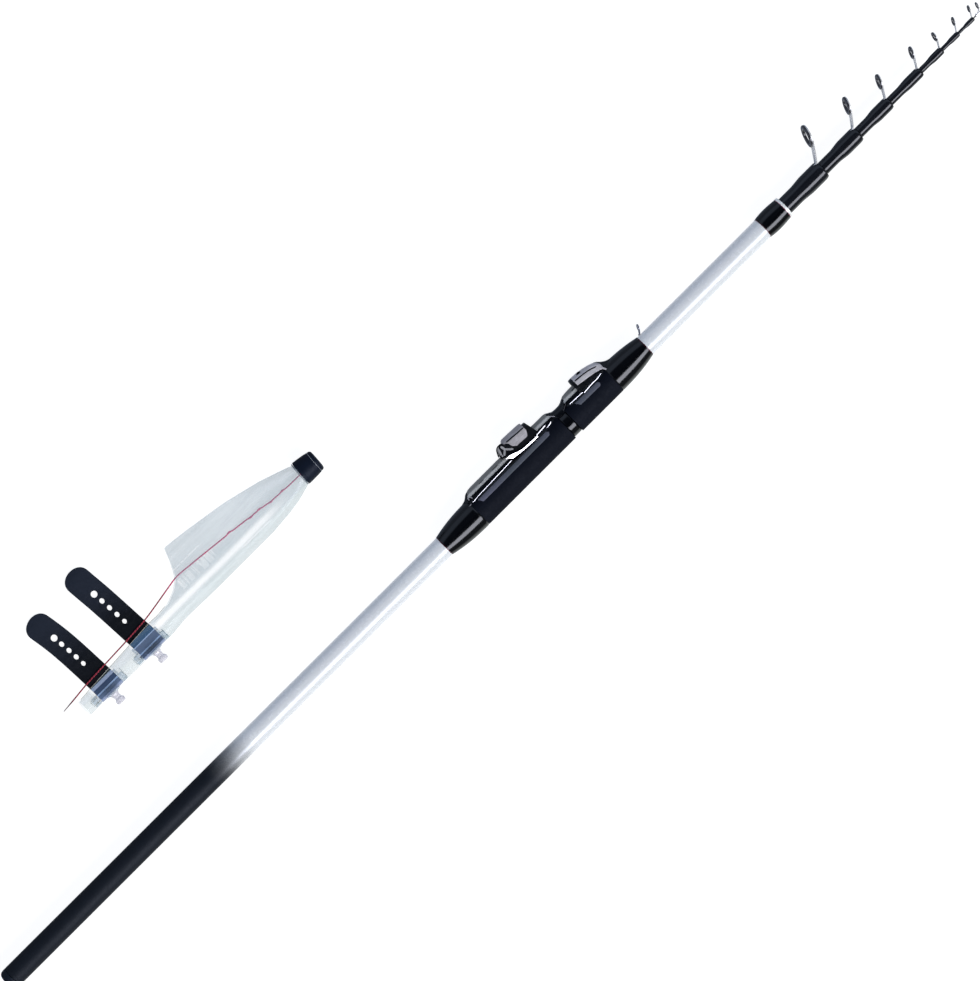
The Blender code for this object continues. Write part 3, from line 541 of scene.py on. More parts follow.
def catmull(points, per=8, closed=False):
    pts = [Vector(p) for p in points]
    out = []
    n = len(pts)
    last = n if closed else n - 1
    for i in range(last):
        if closed:
            p0, p1, p2, p3 = (pts[(i + k - 1) % n] for k in range(4))
        else:
            p0, p1 = pts[max(i - 1, 0)], pts[i]
            p2, p3 = pts[i + 1], pts[min(i + 2, n - 1)]
        for k in range(per):
            t = k / per
            out.append(0.5 * ((2 * p1) + (p2 - p0) * t + (2 * p0 - 5 * p1 + 4 * p2 - p3) * t * t
                              + (3 * p1 - p0 - 3 * p2 + p3) * t ** 3))
    if not closed:
        out.append(pts[-1].copy())
    return out


def sweep_into(bm, points, radii, segs=12, closed=False, flat=1.0, flat_axis=None):
    """Sweep a round or flattened wire along points with a steady frame."""
    n = len(points)
    pts = [Vector(p) for p in points]
    tangents = []
    for i in range(n):
        if closed:
            t = pts[(i + 1) % n] - pts[(i - 1) % n]
        else:
            t = pts[min(i + 1, n - 1)] - pts[max(i - 1, 0)]
        tangents.append(t.normalized())
    if flat_axis is not None:
        normal = Vector(flat_axis)
    else:
        normal = Vector((0.0, 0.0, 1.0))
        if abs(normal.dot(tangents[0])) > 0.9:
            normal = Vector((0.0, 1.0, 0.0))
    rings = []
    for i in range(n):
        t = tangents[i]
        if flat_axis is not None:
            normal = Vector(flat_axis)
        normal = (normal - t * normal.dot(t)).normalized()
        side = t.cross(normal).normalized()
        r = radii[i] if isinstance(radii, (list, tuple)) else radii
        ring = []
        for k in range(segs):
            a = 2 * math.pi * k / segs
            ring.append(bm.verts.new(pts[i] + normal * (math.cos(a) * r * flat)
                                     + side * (math.sin(a) * r)))
        rings.append(ring)
    pairs = list(zip(rings, rings[1:]))
    if closed:
        pairs.append((rings[-1], rings[0]))
    for a, b in pairs:
        for k in range(segs):
            j = (k + 1) % segs
            bm.faces.new((a[k], a[j], b[j], b[k]))
    if not closed:
        for ring, i, s in ((rings[0], 0, -1), (rings[-1], n - 1, 1)):
            r = radii[i] if isinstance(radii, (list, tuple)) else radii
            cap = bm.verts.new(pts[i] + tangents[i] * (s * r * 0.5))
            for k in range(segs):
                bm.faces.new((ring[k], ring[(k + 1) % segs], cap))
    return rings


def sweep(name, body, mat, points, radii, segs=12, closed=False, replaces=(),
          flat=1.0, flat_axis=None, sharp=50.0):
    bm = bmesh.new()
    sweep_into(bm, points, radii, segs, closed, flat, flat_axis)
    bmesh.ops.scale(bm, vec=(MM, MM, MM), verts=bm.verts[:])
    return finish_mesh(name, bm, mat, body, replaces, sharp)


def loft(name, body, mat, rings, caps=True, cyclic=True, replaces=(), sharp=30.0,
         bevel=0.0, subdivide=0, bevel_angle=32.0):
    """Close a row of sections, each of as many points, into a solid or a skin."""
    bm = bmesh.new()
    rows = [[bm.verts.new(Vector(p) * MM) for p in ring] for ring in rings]
    n = len(rows[0])
    for a, b in zip(rows, rows[1:]):
        for i in range(n if cyclic else n - 1):
            j = (i + 1) % n
            bm.faces.new((a[i], a[j], b[j], b[i]))
    if caps:
        half = n // 2
        for row in (rows[0], rows[-1]):
            for i in range(half - 1):
                bm.faces.new((row[i], row[i + 1], row[n - 2 - i], row[n - 1 - i]))
    ob = finish_mesh(name, bm, mat, body, replaces, sharp)
    if bevel:
        mod = ob.modifiers.new("edges", "BEVEL")
        mod.width = bevel * MM
        mod.segments = 2
        mod.limit_method = "ANGLE"
        mod.angle_limit = math.radians(bevel_angle)
        mod.harden_normals = False
    if subdivide:
        mod = ob.modifiers.new("smooth", "SUBSURF")
        mod.levels = subdivide
        mod.render_levels = subdivide
    return ob


def ease(a, b, x):
    u = min(1.0, max(0.0, (x - a) / (b - a)))
    return u * u * (3 - 2 * u)


def between(table, x):
    if x <= table[0][0]:
        return table[0][1]
    for (xa, va), (xb, vb) in zip(table, table[1:]):
        if x <= xb:
            return va + (vb - va) * (x - xa) / (xb - xa)
    return table[-1][1]


# ==================================================== camera, floor, lights

cam_data = bpy.data.cameras.new("camera")
cam = bpy.data.objects.new("camera", cam_data)
bpy.context.scene.collection.objects.link(cam)
roll = math.radians(44.93)
up = Vector((math.sin(roll), math.cos(roll), 0.0))
back = Vector((0.0, 0.0, 1.0))
right = up.cross(back).normalized()
pose = Matrix((right, up, back)).transposed().to_4x4()
pose.translation = Vector((0.482, 0.00495, 2.2))
cam.matrix_world = pose
cam_data.sensor_width = 36.0
cam_data.lens = 115.4
cam_data.clip_start = 0.01
cam_data.clip_end = 30.0
bpy.context.scene.camera = cam

scene = bpy.context.scene
scene.view_settings.view_transform = "Standard"
scene.view_settings.look = "None"

floor_mat = Nodes("studio_floor")
floor_mat.set(Base_Color=floor_mat.mix(floor_mat.noise(3.0, 2.0), (0.235, 0.236, 0.238),
                                       (0.250, 0.251, 0.253)),
              Roughness=floor_mat.map(floor_mat.noise(40.0), 0.3, 0.7, 0.80, 0.90),
              Specular_IOR_Level=0.1, Emission_Color=(0.985, 0.992, 1.0),
              Emission_Strength=0.915)
bm = bmesh.new()
bmesh.ops.create_grid(bm, x_segments=18, y_segments=18, size=9.0)
floor_mesh = bpy.data.meshes.new("studio_floor")
bm.to_mesh(floor_mesh)
bm.free()
floor = bpy.data.objects.new("studio_floor", floor_mesh)
scene.collection.objects.link(floor)
floor.location = (0.48, 0.05, FLOOR * MM)
floor_mesh.materials.append(floor_mat.mat)
floor.visible_glossy = False

world = bpy.data.worlds.new("studio")
scene.world = world
world.use_nodes = True
wt = world.node_tree
wt.nodes.clear()
w_out = wt.nodes.new("ShaderNodeOutputWorld")
w_bg = wt.nodes.new("ShaderNodeBackground")
w_co = wt.nodes.new("ShaderNodeTexCoord")
w_sep = wt.nodes.new("ShaderNodeSeparateXYZ")


def w_range(source, lo, hi, a, b):
    n = wt.nodes.new("ShaderNodeMapRange")
    n.interpolation_type = "SMOOTHSTEP"
    for key, value in (("From Min", lo), ("From Max", hi), ("To Min", a), ("To Max", b)):
        n.inputs[key].default_value = value
    wt.links.new(source, n.inputs["Value"])
    return n.outputs["Result"]


def w_math(op, a, b):
    n = wt.nodes.new("ShaderNodeMath")
    n.operation = op
    for i, v in enumerate((a, b)):
        if isinstance(v, (int, float)):
            n.inputs[i].default_value = v
        else:
            wt.links.new(v, n.inputs[i])
    return n.outputs[0]


wt.links.new(w_co.outputs["Generated"], w_sep.inputs[0])
w_z, w_y = w_sep.outputs["Z"], w_sep.outputs["Y"]
crest = w_range(w_z, 0.70, 0.82, 1.0, 0.08)
rear_side = w_math("MULTIPLY", crest, w_range(w_z, 0.12, 0.40, 0.27, 0.56))
near_side = w_math("ADD", w_math("MULTIPLY", crest, 0.10), w_range(w_z, -0.45, -0.22, 0.74, 0.0))
which = w_range(w_y, -0.06, 0.06, 0.0, 1.0)
w_all = w_math("ADD", w_math("MULTIPLY", rear_side, which),
               w_math("MULTIPLY", near_side, w_math("SUBTRACT", 1.0, which)))
w_tint = wt.nodes.new("ShaderNodeMix")
w_tint.data_type = "RGBA"
for socket in w_tint.inputs:
    if socket.type == "RGBA" and socket.name == "A":
        socket.default_value = (0.95, 1.0, 0.99, 1.0)
    elif socket.type == "RGBA" and socket.name == "B":
        socket.default_value = (0.70, 0.83, 1.08, 1.0)
wt.links.new(which, w_tint.inputs[0])
wt.links.new([o for o in w_tint.outputs if o.type == "RGBA"][0], w_bg.inputs["Color"])
wt.links.new(w_all, w_bg.inputs["Strength"])
wt.links.new(w_bg.outputs[0], w_out.inputs["Surface"])


def area(name, place, target, size, radiance, colour=(1, 1, 1), glossy=True, diffuse=True):
    """A rectangular soft light given by its radiance."""
    data = bpy.data.lights.new(name, "AREA")
    data.shape = "RECTANGLE"
    data.size, data.size_y = size
    data.energy = radiance * math.pi * size[0] * size[1]
    data.color = colour
    ob = bpy.data.objects.new(name, data)
    scene.collection.objects.link(ob)
    z = (Vector(place) - Vector(target)).normalized()
    x = Vector((1.0, 0.0, 0.0))
    x = (x - z * x.dot(z)).normalized()
    y = z.cross(x)
    m = Matrix((x, y, z)).transposed().to_4x4()
    m.translation = Vector(place)
    ob.matrix_world = m
    ob.visible_camera = False
    ob.visible_glossy = glossy
    ob.visible_diffuse = diffuse
    ob.visible_transmission = glossy
    return ob


mid = (0.48, 0.03, 0.0)
ang = math.radians(46.5)
strip_at = (0.48, 0.03 - 2.0 * math.sin(ang), 2.0 * math.cos(ang))
area("strip", strip_at, mid, (3.2, 1.02), 6.9, (0.885, 0.90, 1.0), True, False)
area("key", (0.48, -1.75, 1.75), mid, (2.6, 1.3), 5.6, (1.0, 0.998, 0.992), False, True)
area("top", (0.48, 0.25, 2.6), mid, (2.6, 1.6), 1.1, (0.97, 0.985, 1.0), False, True)

# ============================================================= the handle

HANDLE_R, BORE_R, MOUTH_BORE_R = 8.0, 6.9, 6.6
GRIP_R, CONE_R, FIT = 11.42, 11.6, 0.15

turned("butt_tube", "handle", PEARL, [
    (767.0, MOUTH_BORE_R), (767.0, HANDLE_R), (6.3, HANDLE_R), (6.3, BORE_R),
    (697.0, BORE_R)], 96, 0.2, replaces=["butt_blank"])

cap_profile = [(16.0, 0.0), (16.0, 5.9), (15.5, 6.4)]
for k in range(3):                    # the plug's thread, as shallow rings
    cap_profile += [(14.9 - 1.1 * k, 6.4), (14.6 - 1.1 * k, 6.05), (14.35 - 1.1 * k, 6.4)]
cap_profile += [(11.3, 6.4), (11.3, 5.5), (9.3, 5.5), (9.3, 6.4), (6.0, 6.4), (6.0, 7.95),
                (5.4, 8.0), (3.4, 7.97), (2.4, 7.76), (1.5, 7.42), (0.8, 6.88), (0.35, 6.25),
                (0.1, 5.5), (0.0, 4.8), (0.0, 0.0)]
turned("butt_end_cap", "end_cap", BUTT_SATIN, cap_profile, 64, 0.12, closed=False,
       replaces=["butt_cap"], steps=2)
turned("butt_ring", "seal_ring", SEAL, [
    (10.95, 5.8), (10.95, 6.45), (10.65, 6.75), (9.95, 6.75), (9.65, 6.45), (9.65, 5.8)], 56, 0.2,
    replaces=["butt_seal_ring"])


def cone(small_x, big_x, small_r, big_r, steps=24):
    pts = []
    for i in range(steps + 1):
        u = (i / steps) ** 1.25
        pts.append((small_x + (big_x - small_x) * u,
                    small_r + (big_r - small_r) * (1 - (1 - u) ** 2.3)))
    return pts


rear = cone(432.5, 464.2, 8.4, CONE_R)
turned("rear_cone_shell", "handle", GLOSS,
       [(465.5, HANDLE_R + FIT), (465.5, CONE_R - 0.5)] + rear[::-1]
       + [(432.5, HANDLE_R + FIT)], 96, 0.3, replaces=["rear_cone"], sharp=40)
front = cone(629.6, 598.4, 8.4, GRIP_R)
turned("front_cone_shell", "handle", GLOSS,
       [(629.6, HANDLE_R + FIT)] + front + [(597.7, GRIP_R - 0.4), (597.7, HANDLE_R + FIT)],
       96, 0.3, replaces=["front_cone"], sharp=40)


def ring(x0, x1, r_in, r_out):
    return [(x1, r_in), (x1, r_out), (x0, r_out), (x0, r_in)]


turned("rear_red_line", "handle", RED, ring(431.9, 432.6, HANDLE_R + 0.05, 8.38), 64, 0.12,
       replaces=["rear_trim_ring"])
turned("front_red_line", "handle", RED, ring(629.1, 630.2, HANDLE_R + 0.05, 8.42), 64, 0.12,
       replaces=["front_trim_ring"])
turned("rear_grip_sleeve", "handle", FOAM, ring(465.35, 550.75, HANDLE_R + FIT, GRIP_R), 96, 0.3,
       replaces=["rear_grip"])
turned("front_grip_sleeve", "handle", FOAM, ring(557.75, 597.75, HANDLE_R + FIT, GRIP_R), 96, 0.3,
       replaces=["front_grip"])
turned("neck_between_grips", "handle", GLOSS, [
    (557.85, HANDLE_R + FIT), (557.85, 10.1), (556.8, 10.5), (551.7, 10.5),
    (550.65, 10.1), (550.65, HANDLE_R + FIT)], 72, 0.35, replaces=["seat_neck"])

barrel = []
for i in range(23):
    u = i / 22
    barrel.append((765.95 - u * 18.95,
                   8.35 + 0.7 * math.sin(math.pi * min(1.0, u) ** 1.2) ** 0.8 - 0.05 * u))
turned("collar_barrel", "handle", GLOSS,
       [(765.95, HANDLE_R + FIT)] + barrel + [(747.0, HANDLE_R + FIT)], 96, 0.2,
       replaces=["ferrule_collar"], sharp=40)
turned("collar_front_ring", "handle", RING_PEARL, ring(766.1, 768.05, MOUTH_BORE_R, 8.45), 72,
       0.25, replaces=["collar_ring"])
turned("collar_front_line", "handle", RED_PALE, ring(765.85, 766.2, HANDLE_R + 0.05, 8.42), 64, 0.08)
turned("collar_rear_line", "handle", RED, ring(746.45, 747.1, HANDLE_R + 0.06, 8.3), 64, 0.1)

# ==================================================== telescoping sections

SECTIONS = [
    (2, 17.0, 805.4, 6.500, 6.15, 5.85, 5.50, 7.42, 64),
    (3, 18.5, 840.7, 5.400, 4.90, 4.85, 4.40, 6.22, 60),
    (4, 20.0, 871.7, 4.300, 3.85, 3.80, 3.40, 5.05, 56),
    (5, 21.5, 902.4, 3.300, 2.80, 2.85, 2.40, 4.02, 48),
    (6, 23.0, 923.7, 2.300, 1.80, 1.90, 1.45, 2.92, 44),
    (7, 24.5, 940.0, 1.375, 1.25, 1.07, 0.98, 2.12, 40),
    (8, 26.0, 954.9, 0.925, 0.85, 0.66, 0.63, 1.68, 36),
]
NECK = {2: 0.30, 3: 0.16, 4: 0.24, 5: 0.42, 6: 0.36, 7: 0.26, 8: 0.20}
previous = 767.4
for number, base, mouth, r_base, r_mouth, b_base, b_mouth, swell, segs in SECTIONS:
    body = f"section_{number}"
    turned(f"tube_{number}", body, GLOSS, [
        (mouth, b_mouth), (mouth, r_mouth), (base, r_base), (base, b_base)], segs, 0.08,
        replaces=[f"blank_{number}"])
    visible = mouth - previous
    x_from, x_full = previous + 0.32 * visible, previous + 0.62 * visible
    bore = r_mouth + (r_base - r_mouth) * (mouth - x_from) / (mouth - base) + 0.06
    start = previous + 0.35
    neck = bore + 0.06 + NECK[number]
    rise = [(start, bore + 0.05), (start + 0.30, neck - 0.06), (start + 0.8, neck)]
    for i in range(17):
        u = i / 16
        rise.append((x_from + (x_full - x_from) * u, neck + (swell - neck) * u * u * (3 - 2 * u)))
    end = mouth - 0.05
    # the lacquer rolls over towards the mouth in a long soft shoulder
    roll = 0.10 * visible
    nose_r = max(bore + 0.10, r_mouth + 0.30)
    shoulder = []
    for i in range(11):
        a = math.pi / 2 * i / 10
        shoulder.append((end - roll + roll * math.sin(a),
                         nose_r + (swell - nose_r) * math.cos(a) ** 0.9))
    shape = [(end, bore)] + shoulder[::-1] + rise[::-1] + [(start, bore)]
    turned(f"swell_{number}", body, THREAD, shape, segs, 0.10,
           replaces=[f"wrap_{number}"], sharp=48)
    previous = mouth
turned("tip_blank", "section_9", GLOSS, [
    (960.6, 0.0), (960.6, 0.48), (27.5, 0.575), (27.5, 0.0)], 32, 0.06, closed=False,
    replaces=["blank_9"])

# ================================================================= guides

GUIDES = [
    (2, 814.8, 23.4, 17.0, 19.0, 0.72, 34.0),
    (3, 849.3, 18.9, 13.4, 24.0, 0.64, 34.0),
    (4, 877.0, 14.9, 11.4, 24.0, 0.55, 34.0),
    (5, 907.4, 13.4, 9.2, 24.0, 0.46, 34.0),
    (6, 926.6, 10.0, 7.2, 13.0, 0.38, 34.0),
    (7, 943.5, 8.3, 6.4, 26.0, 0.33, 34.0),
    (8, 957.3, 6.9, 5.2, 24.0, 0.30, 34.0),
]
TWIST = math.radians(4.0)


def guide_wire(centre, radius, lean, foot_x, foot_r, foot_angle, foot_run, steps=40,
               twist=TWIST):
    """Foot, leg, hoop, leg, foot as one bent wire."""
    up_v = Vector((math.sin(lean), math.cos(lean), 0.0))
    flat = up_v.cross(Vector((0.0, 0.0, 1.0)))
    side = Vector((0.0, 0.0, math.cos(twist))) + flat * math.sin(twist)
    c = Vector((centre[0], centre[1], 0.0))
    fy, fz = foot_r * math.cos(foot_angle), foot_r * math.sin(foot_angle)
    gap = math.radians(26)

    def foot(z):
        return [Vector((foot_x - foot_run, fy, z)), Vector((foot_x - 0.45 * foot_run, fy, z)),
                Vector((foot_x - 0.12 * foot_run, fy, z)),
                Vector((foot_x + 0.12 * foot_run, fy + 0.12 * foot_run, z))]
    path = foot(fz)
    for i in range(steps + 1):
        phi = gap + (2 * math.pi - 2 * gap) * i / steps
        path.append(c + radius * (side * math.sin(phi) - up_v * math.cos(phi)))
    path += foot(-fz)[::-1]
    return catmull(path, 3)


def lean_matrix(cx, cy, lean, twist=TWIST):
    return (Matrix.Translation(Vector((cx, cy, 0.0)))
            @ Matrix.Rotation(math.radians(-lean), 4, "Z")
            @ Matrix.Rotation(twist, 4, "Y"))


def guide_profile(r_in, wall, r_hi, half_d, crown):
    """A ceramic ring seated over its hoop: rounded bore, softly rounded rim."""
    profile = []
    for k in range(13):
        a = -math.pi / 2 + math.pi * k / 12
        profile.append((half_d * math.sin(a), r_in + 0.5 * wall - 0.5 * wall * math.cos(a)))
    for k in range(13):
        a = math.pi / 2 - math.pi * k / 12
        profile.append((half_d * math.sin(a), r_hi - crown + crown * math.cos(a)))
    return profile


def guide(number, body, cx, cy, diameter, lean, wire_r, foot_angle, mouth, swell, names):
    hoop = diameter / 2 - wire_r
    foot_r = swell - 0.75 * wire_r
    run = max(2.2, min(6.0, 0.36 * diameter))
    path = guide_wire((cx, cy), hoop, math.radians(lean), mouth - 0.8, foot_r,
                      math.radians(foot_angle), run)
    # the feet are ground down to a point under the whipping
    radii = []
    total = len(path)
    for i in range(total):
        d = min(i, total - 1 - i)
        radii.append(wire_r * (0.55 + 0.45 * ease(0, 7, d)))
    sweep(names[0], body, CHROME, path, radii, 12, replaces=[names[2]])
    wall = max(0.46, 0.10 * diameter)
    profile = [(x - 1.15 * wire_r, r) for x, r in guide_profile(
        hoop - wire_r - 0.10 - wall, wall, diameter / 2 + 0.03, 1.50 * wire_r, 1.1 * wire_r)]
    turned(names[1], body, CERAMIC, profile, 64 if diameter > 8 else 48, 0.03,
           matrix=lean_matrix(cx, cy, lean), replaces=[names[3]], sharp=60,
           steps=2)
    return path


for number, cx, cy, diameter, lean, wire_r, foot_angle in GUIDES:
    section = next(s for s in SECTIONS if s[0] == number)
    body = f"section_{number}"
    mouth, swell = section[2], section[7]
    guide(number, body, cx, cy, diameter, lean, wire_r, foot_angle, mouth, swell,
          (f"guide_wire_{number}", f"guide_insert_{number}",
           f"guide_frame_{number}", f"guide_ring_{number}"))

turned("tip_tube", "section_9", CHROME, [
    (961.6, 0.0), (961.6, 0.65), (961.2, 0.95), (956.9, 0.95), (956.9, 0.58),
    (960.9, 0.58), (960.9, 0.0)], 32, 0.12, closed=False, replaces=["tip_top_tube"])
sweep("tip_wire", "section_9", CHROME,
      guide_wire((962.8, 4.5), 2.45, math.radians(15), 960.6, 1.40, math.radians(50), 2.6),
      0.30, 10, replaces=["tip_top_frame"])
turned("tip_insert", "section_9", CERAMIC, guide_profile(1.50, 0.5, 2.72, 0.40, 0.28), 48, 0.02,
       matrix=lean_matrix(962.8, 4.5, 15), replaces=["tip_top_ring"],
       sharp=60, steps=2)
sweep("keeper_wire", "handle", KEEPER,
      guide_wire((635.9, 12.6), 1.9, math.radians(24), 633.3, HANDLE_R + 0.6,
                 math.radians(10), 0.9, twist=math.radians(9)), 0.55, 12, replaces=["hook_keeper"])

# ============================================================== reel seat


def arch(half, y_shoulder, y_top, y_bottom, count=25, power=2.6):
    low = max(0.0, (y_bottom + 0.12 - y_shoulder) / (y_top - y_shoulder))
    start = math.asin(min(0.98, low ** (power / 2)))
    pts = []
    for i in range(count):
        a = math.pi - start - (math.pi - 2 * start) * i / (count - 1)
        c, s = math.cos(a), math.sin(a)
        z = half * math.copysign(abs(c) ** (2 / power), c)
        y = y_shoulder + (y_top - y_shoulder) * abs(s) ** (2 / power)
        pts.append((z, y))
    return [(pts[0][0], y_bottom)] + pts + [(pts[-1][0], y_bottom)]


def saddle(name, body, mat, stations, replaces, bevel=0.14, count=25, power=2.6, split=4):
    """An arched shell. Each station: x, half width, shoulder, top, bottom, wall, dx."""
    fine = []
    for a, b in zip(stations, stations[1:]):
        for k in range(split):
            t = k / split
            fine.append(tuple(p + (q - p) * t for p, q in zip(a, b)))
    fine.append(stations[-1])
    rings = []
    for x, half, shoulder, top, bottom, wall, dx in fine:
        outer = arch(half, shoulder, top, bottom, count, power)
        inner = arch(half - wall, shoulder, top - wall, bottom, count, power)
        rings.append([(x + dx * (top - y) / max(top - bottom, 0.1), y, z)
                      for z, y in outer + inner[::-1]])
    return loft(name, body, mat, rings, replaces=replaces, bevel=bevel)


def plate(name, stations, replaces):
    """A chamfered arch plate on its black bed: lower facet, groove, upper facet, crown."""
    rings = []
    fine = []
    for a, b in zip(stations, stations[1:]):
        for k in range(3):
            t = k / 3
            fine.append(tuple(p + (q - p) * t for p, q in zip(a, b)))
    fine.append(stations[-1])
    for x, top, half in fine:
        low = min(PLATE_LOW, top - 1.4)
        span = top - low
        outer = [(-half * 1.007, low), (-half, low + 0.05 * span), (-half * 0.885, low + 0.41 * span),
                 (-half * 0.855, low + 0.425 * span), (-half * 0.835, low + 0.46 * span),
                 (-half * 0.60, low + 0.74 * span), (-half * 0.36, low + 0.945 * span),
                 (-half * 0.12, top)]
        outer = outer + [(-z, y) for z, y in outer[::-1]]
        n = len(outer)
        inner = [(half * 0.999 * (-1 + 2 * i / (n - 1)), low - 0.02) for i in range(n)]
        rings.append([(x, y, z) for z, y in outer + inner[::-1]])
    return loft(name, "handle", GUN_PLATE, rings, replaces=replaces, bevel=0.10,
                sharp=26)


PLATE_LOW = 11.2
plate("rear_plate", [
    (466.9, 12.8, 6.6), (467.5, 14.3, 6.9), (468.6, 15.4, 7.0), (471.4, 16.3, 7.0),
    (474.0, 16.5, 7.0), (535.2, 16.5, 7.0), (535.6, 16.35, 7.0), (544.8, 16.35, 7.0),
    (546.8, 16.0, 6.95), (548.2, 15.2, 6.7), (548.8, 13.9, 6.2)], ["rear_seat_plate"])
plate("front_plate", [
    (560.4, 13.6, 5.8), (562.0, 14.9, 6.6), (564.0, 15.9, 6.95), (567.0, 16.3, 7.0),
    (571.0, 16.5, 7.0), (576.4, 16.5, 7.0), (577.0, 16.1, 6.8)], ["front_seat_plate"])

# black moulded bed between the grips and the plates, with its slopes and bridge
BED_ARCH = [(1.0, 0.0), (0.985, 0.16), (0.955, 0.36), (0.90, 0.58), (0.79, 0.77), (0.60, 0.91),
            (0.36, 0.98), (0.12, 1.0)]


def flange_bed(name, x0, x1, tail, nose):
    """The bed's long part: a wall under the plate and a thin flange lying on the grip."""
    rings = []
    n_steps = 30
    for i in range(n_steps + 1):
        x = x0 + (x1 - x0) * i / n_steps
        # the flange runs out in a slant at both ends
        reach = 7.75 + 1.65 * min(1.0, (x - x0) / tail, (x1 - x) / nose)
        outer = []
        for k in range(6):
            z = reach + (7.72 - reach) * k / 5
            r = GRIP_R + (0.02 if k == 0 else 0.08)
            outer.append((-z, math.sqrt(r * r - z * z)))
        outer += [(-7.42, 9.35), (-7.32, 11.35), (-5.0, 11.45), (-1.5, 11.45)]
        outer += [(-z, y) for z, y in outer[::-1]]
        m = len(outer)
        inner = []
        for k in range(m):
            z = reach * 0.999 * (-1 + 2 * k / (m - 1))
            inner.append((z, math.sqrt((GRIP_R - 0.5) ** 2 - z * z)))
        rings.append([(x, y, z) for z, y in outer + inner[::-1]])
    return loft(name, "handle", BED_BLACK, rings, bevel=0.0, sharp=34)


def bed(name, shape, stations, mat):
    fine = []
    for a, b in zip(stations, stations[1:]):
        for k in range(4):
            t = k / 4
            fine.append(tuple(p + (q - p) * t for p, q in zip(a, b)))
    fine.append(stations[-1])
    rings = []
    for x, half, top in fine:
        foot = math.sqrt(max(0.0, (GRIP_R - 0.12) ** 2 - half * half))
        outer = [(-half * f, foot + (top - foot) * g) for f, g in shape]
        outer += [(-z, y) for z, y in outer[::-1]]
        n = len(outer)
        inner = []
        for i in range(n):
            z = half * 0.999 * (-1 + 2 * i / (n - 1))
            inner.append((z, math.sqrt((GRIP_R - 0.5) ** 2 - z * z) if abs(z) < 10.6 else 0.0))
        rings.append([(x, y, z) for z, y in outer + inner[::-1]])
    return loft(name, "handle", mat, rings, bevel=0.12, sharp=34)


flange_bed("rear_bed", 465.8, 548.2, 7.5, 5.0)
flange_bed("front_bed", 561.4, 597.2, 3.0, 3.0)
bed("rear_slope", BED_ARCH, [(461.2, 2.6, 11.75), (462.6, 4.2, 12.05), (464.2, 5.6, 12.6),
                             (465.6, 6.3, 13.55), (466.6, 6.5, 14.4), (467.6, 6.3, 15.05),
                             (468.6, 6.0, 15.5), (469.4, 5.4, 15.6)], BED_BLACK)
bed("neck_bridge", BED_ARCH, [(546.6, 6.4, 15.6), (548.0, 6.9, 15.25), (549.4, 7.4, 14.5),
                              (551.0, 8.4, 13.55), (552.6, 8.8, 13.25), (555.0, 8.9, 13.15),
                              (557.6, 8.6, 13.2), (560.0, 7.0, 13.9), (561.5, 6.6, 14.75),
                              (562.8, 6.7, 15.2)], BED_BLACK)
bed("front_slope", BED_ARCH, [(594.6, 7.6, 16.9), (596.4, 7.5, 17.3), (598.2, 7.0, 16.2),
                              (600.0, 6.3, 14.45), (601.6, 5.6, 13.2), (603.2, 4.6, 12.2),
                              (605.0, 3.6, 11.6), (607.0, 2.2, 11.1)], BED_BLACK)


def ribbon(name, body, mat, path, width, tilt=0.0, depth=0.3, smooth=5, ends=0.35,
           mirror=True):
    """A narrow strip along (x, y, z) points; its face leans towards -Y by tilt degrees."""
    pts = catmull([Vector(q) for q in path], smooth)
    lean = math.tan(math.radians(tilt))
    n = len(pts)
    total = sum((b - a).length for a, b in zip(pts, pts[1:]))
    for tag, sign in (("upper", 1), ("lower", -1))[:2 if mirror else 1]:
        rings, gone = [], 0.0
        for i, q in enumerate(pts):
            if i:
                gone += (q - pts[i - 1]).length
            d = pts[min(i + 1, n - 1)] - pts[max(i - 1, 0)]
            d.z = 0.0
            d.normalize()
            side = Vector((-d.y, d.x, 0.0))
            near = min(gone, total - gone) / max(0.6, width)
            w = width / 2 * (ends + (1 - ends) * math.sqrt(min(1.0, near)))
            if side.y < 0:
                side = -side
            a, b = q + side * w, q - side * w
            a.z += lean * side.y * w
            b.z -= lean * side.y * w
            low = Vector((0.0, 0.0, depth))
            rings.append([(v.x, v.y, v.z * sign) for v in (a, b, b - low, a - low)])
        loft(f"{name}_{tag}", body, mat, rings, sharp=40)


def on_grip(y, up=0.18):
    return max(7.95, math.sqrt((GRIP_R + up) ** 2 - y * y))


def grip_line(points, up=0.18):
    return [(x, y, on_grip(y, up)) for x, y in points]


# the bright edge between the bed and the grip
ribbon("rim_rear_a", "handle", DIM_EDGE, grip_line([(464.0, 7.3), (465.2, 7.35), (466.4, 7.45)], 0.5),
       0.5, 14)
ribbon("rim_rear_b", "handle", RIM, grip_line([(467.2, 7.9), (468.4, 7.55), (470.0, 7.6),
                                                 (474.0, 8.0), (485.0, 8.35), (497.0, 8.75),
                                                 (507.6, 9.15)]), 0.34, 18)
ribbon("rim_rear_d", "handle", RIM, grip_line([(532.4, 9.35), (537.0, 9.6), (541.2, 9.9)]), 0.45, 20)
RISE = 0.36
ribbon("rim_rear_e", "handle", RIM, [
    (x, y, 8.35 + RISE * (y - 7.65)) for x, y in
    ((540.4, 7.65), (543.0, 8.0), (545.0, 8.45), (546.0, 9.0))],
    0.45, 18, 1.2)
ribbon("rim_cross", "handle", DIM_EDGE, [
    (x, y, 8.0 + RISE * (y - 9.2)) for x, y in
    ((547.6, 12.4), (548.8, 11.2), (549.8, 10.3), (550.6, 9.6))], 0.4, 14, 0.9)
ribbon("bridge_edge_a", "handle", DIM_EDGE, [(557.6, 8.3, 8.6), (559.6, 9.2, 8.5), (562.4, 10.9, 8.3)],
       0.5, 8, 1.2)
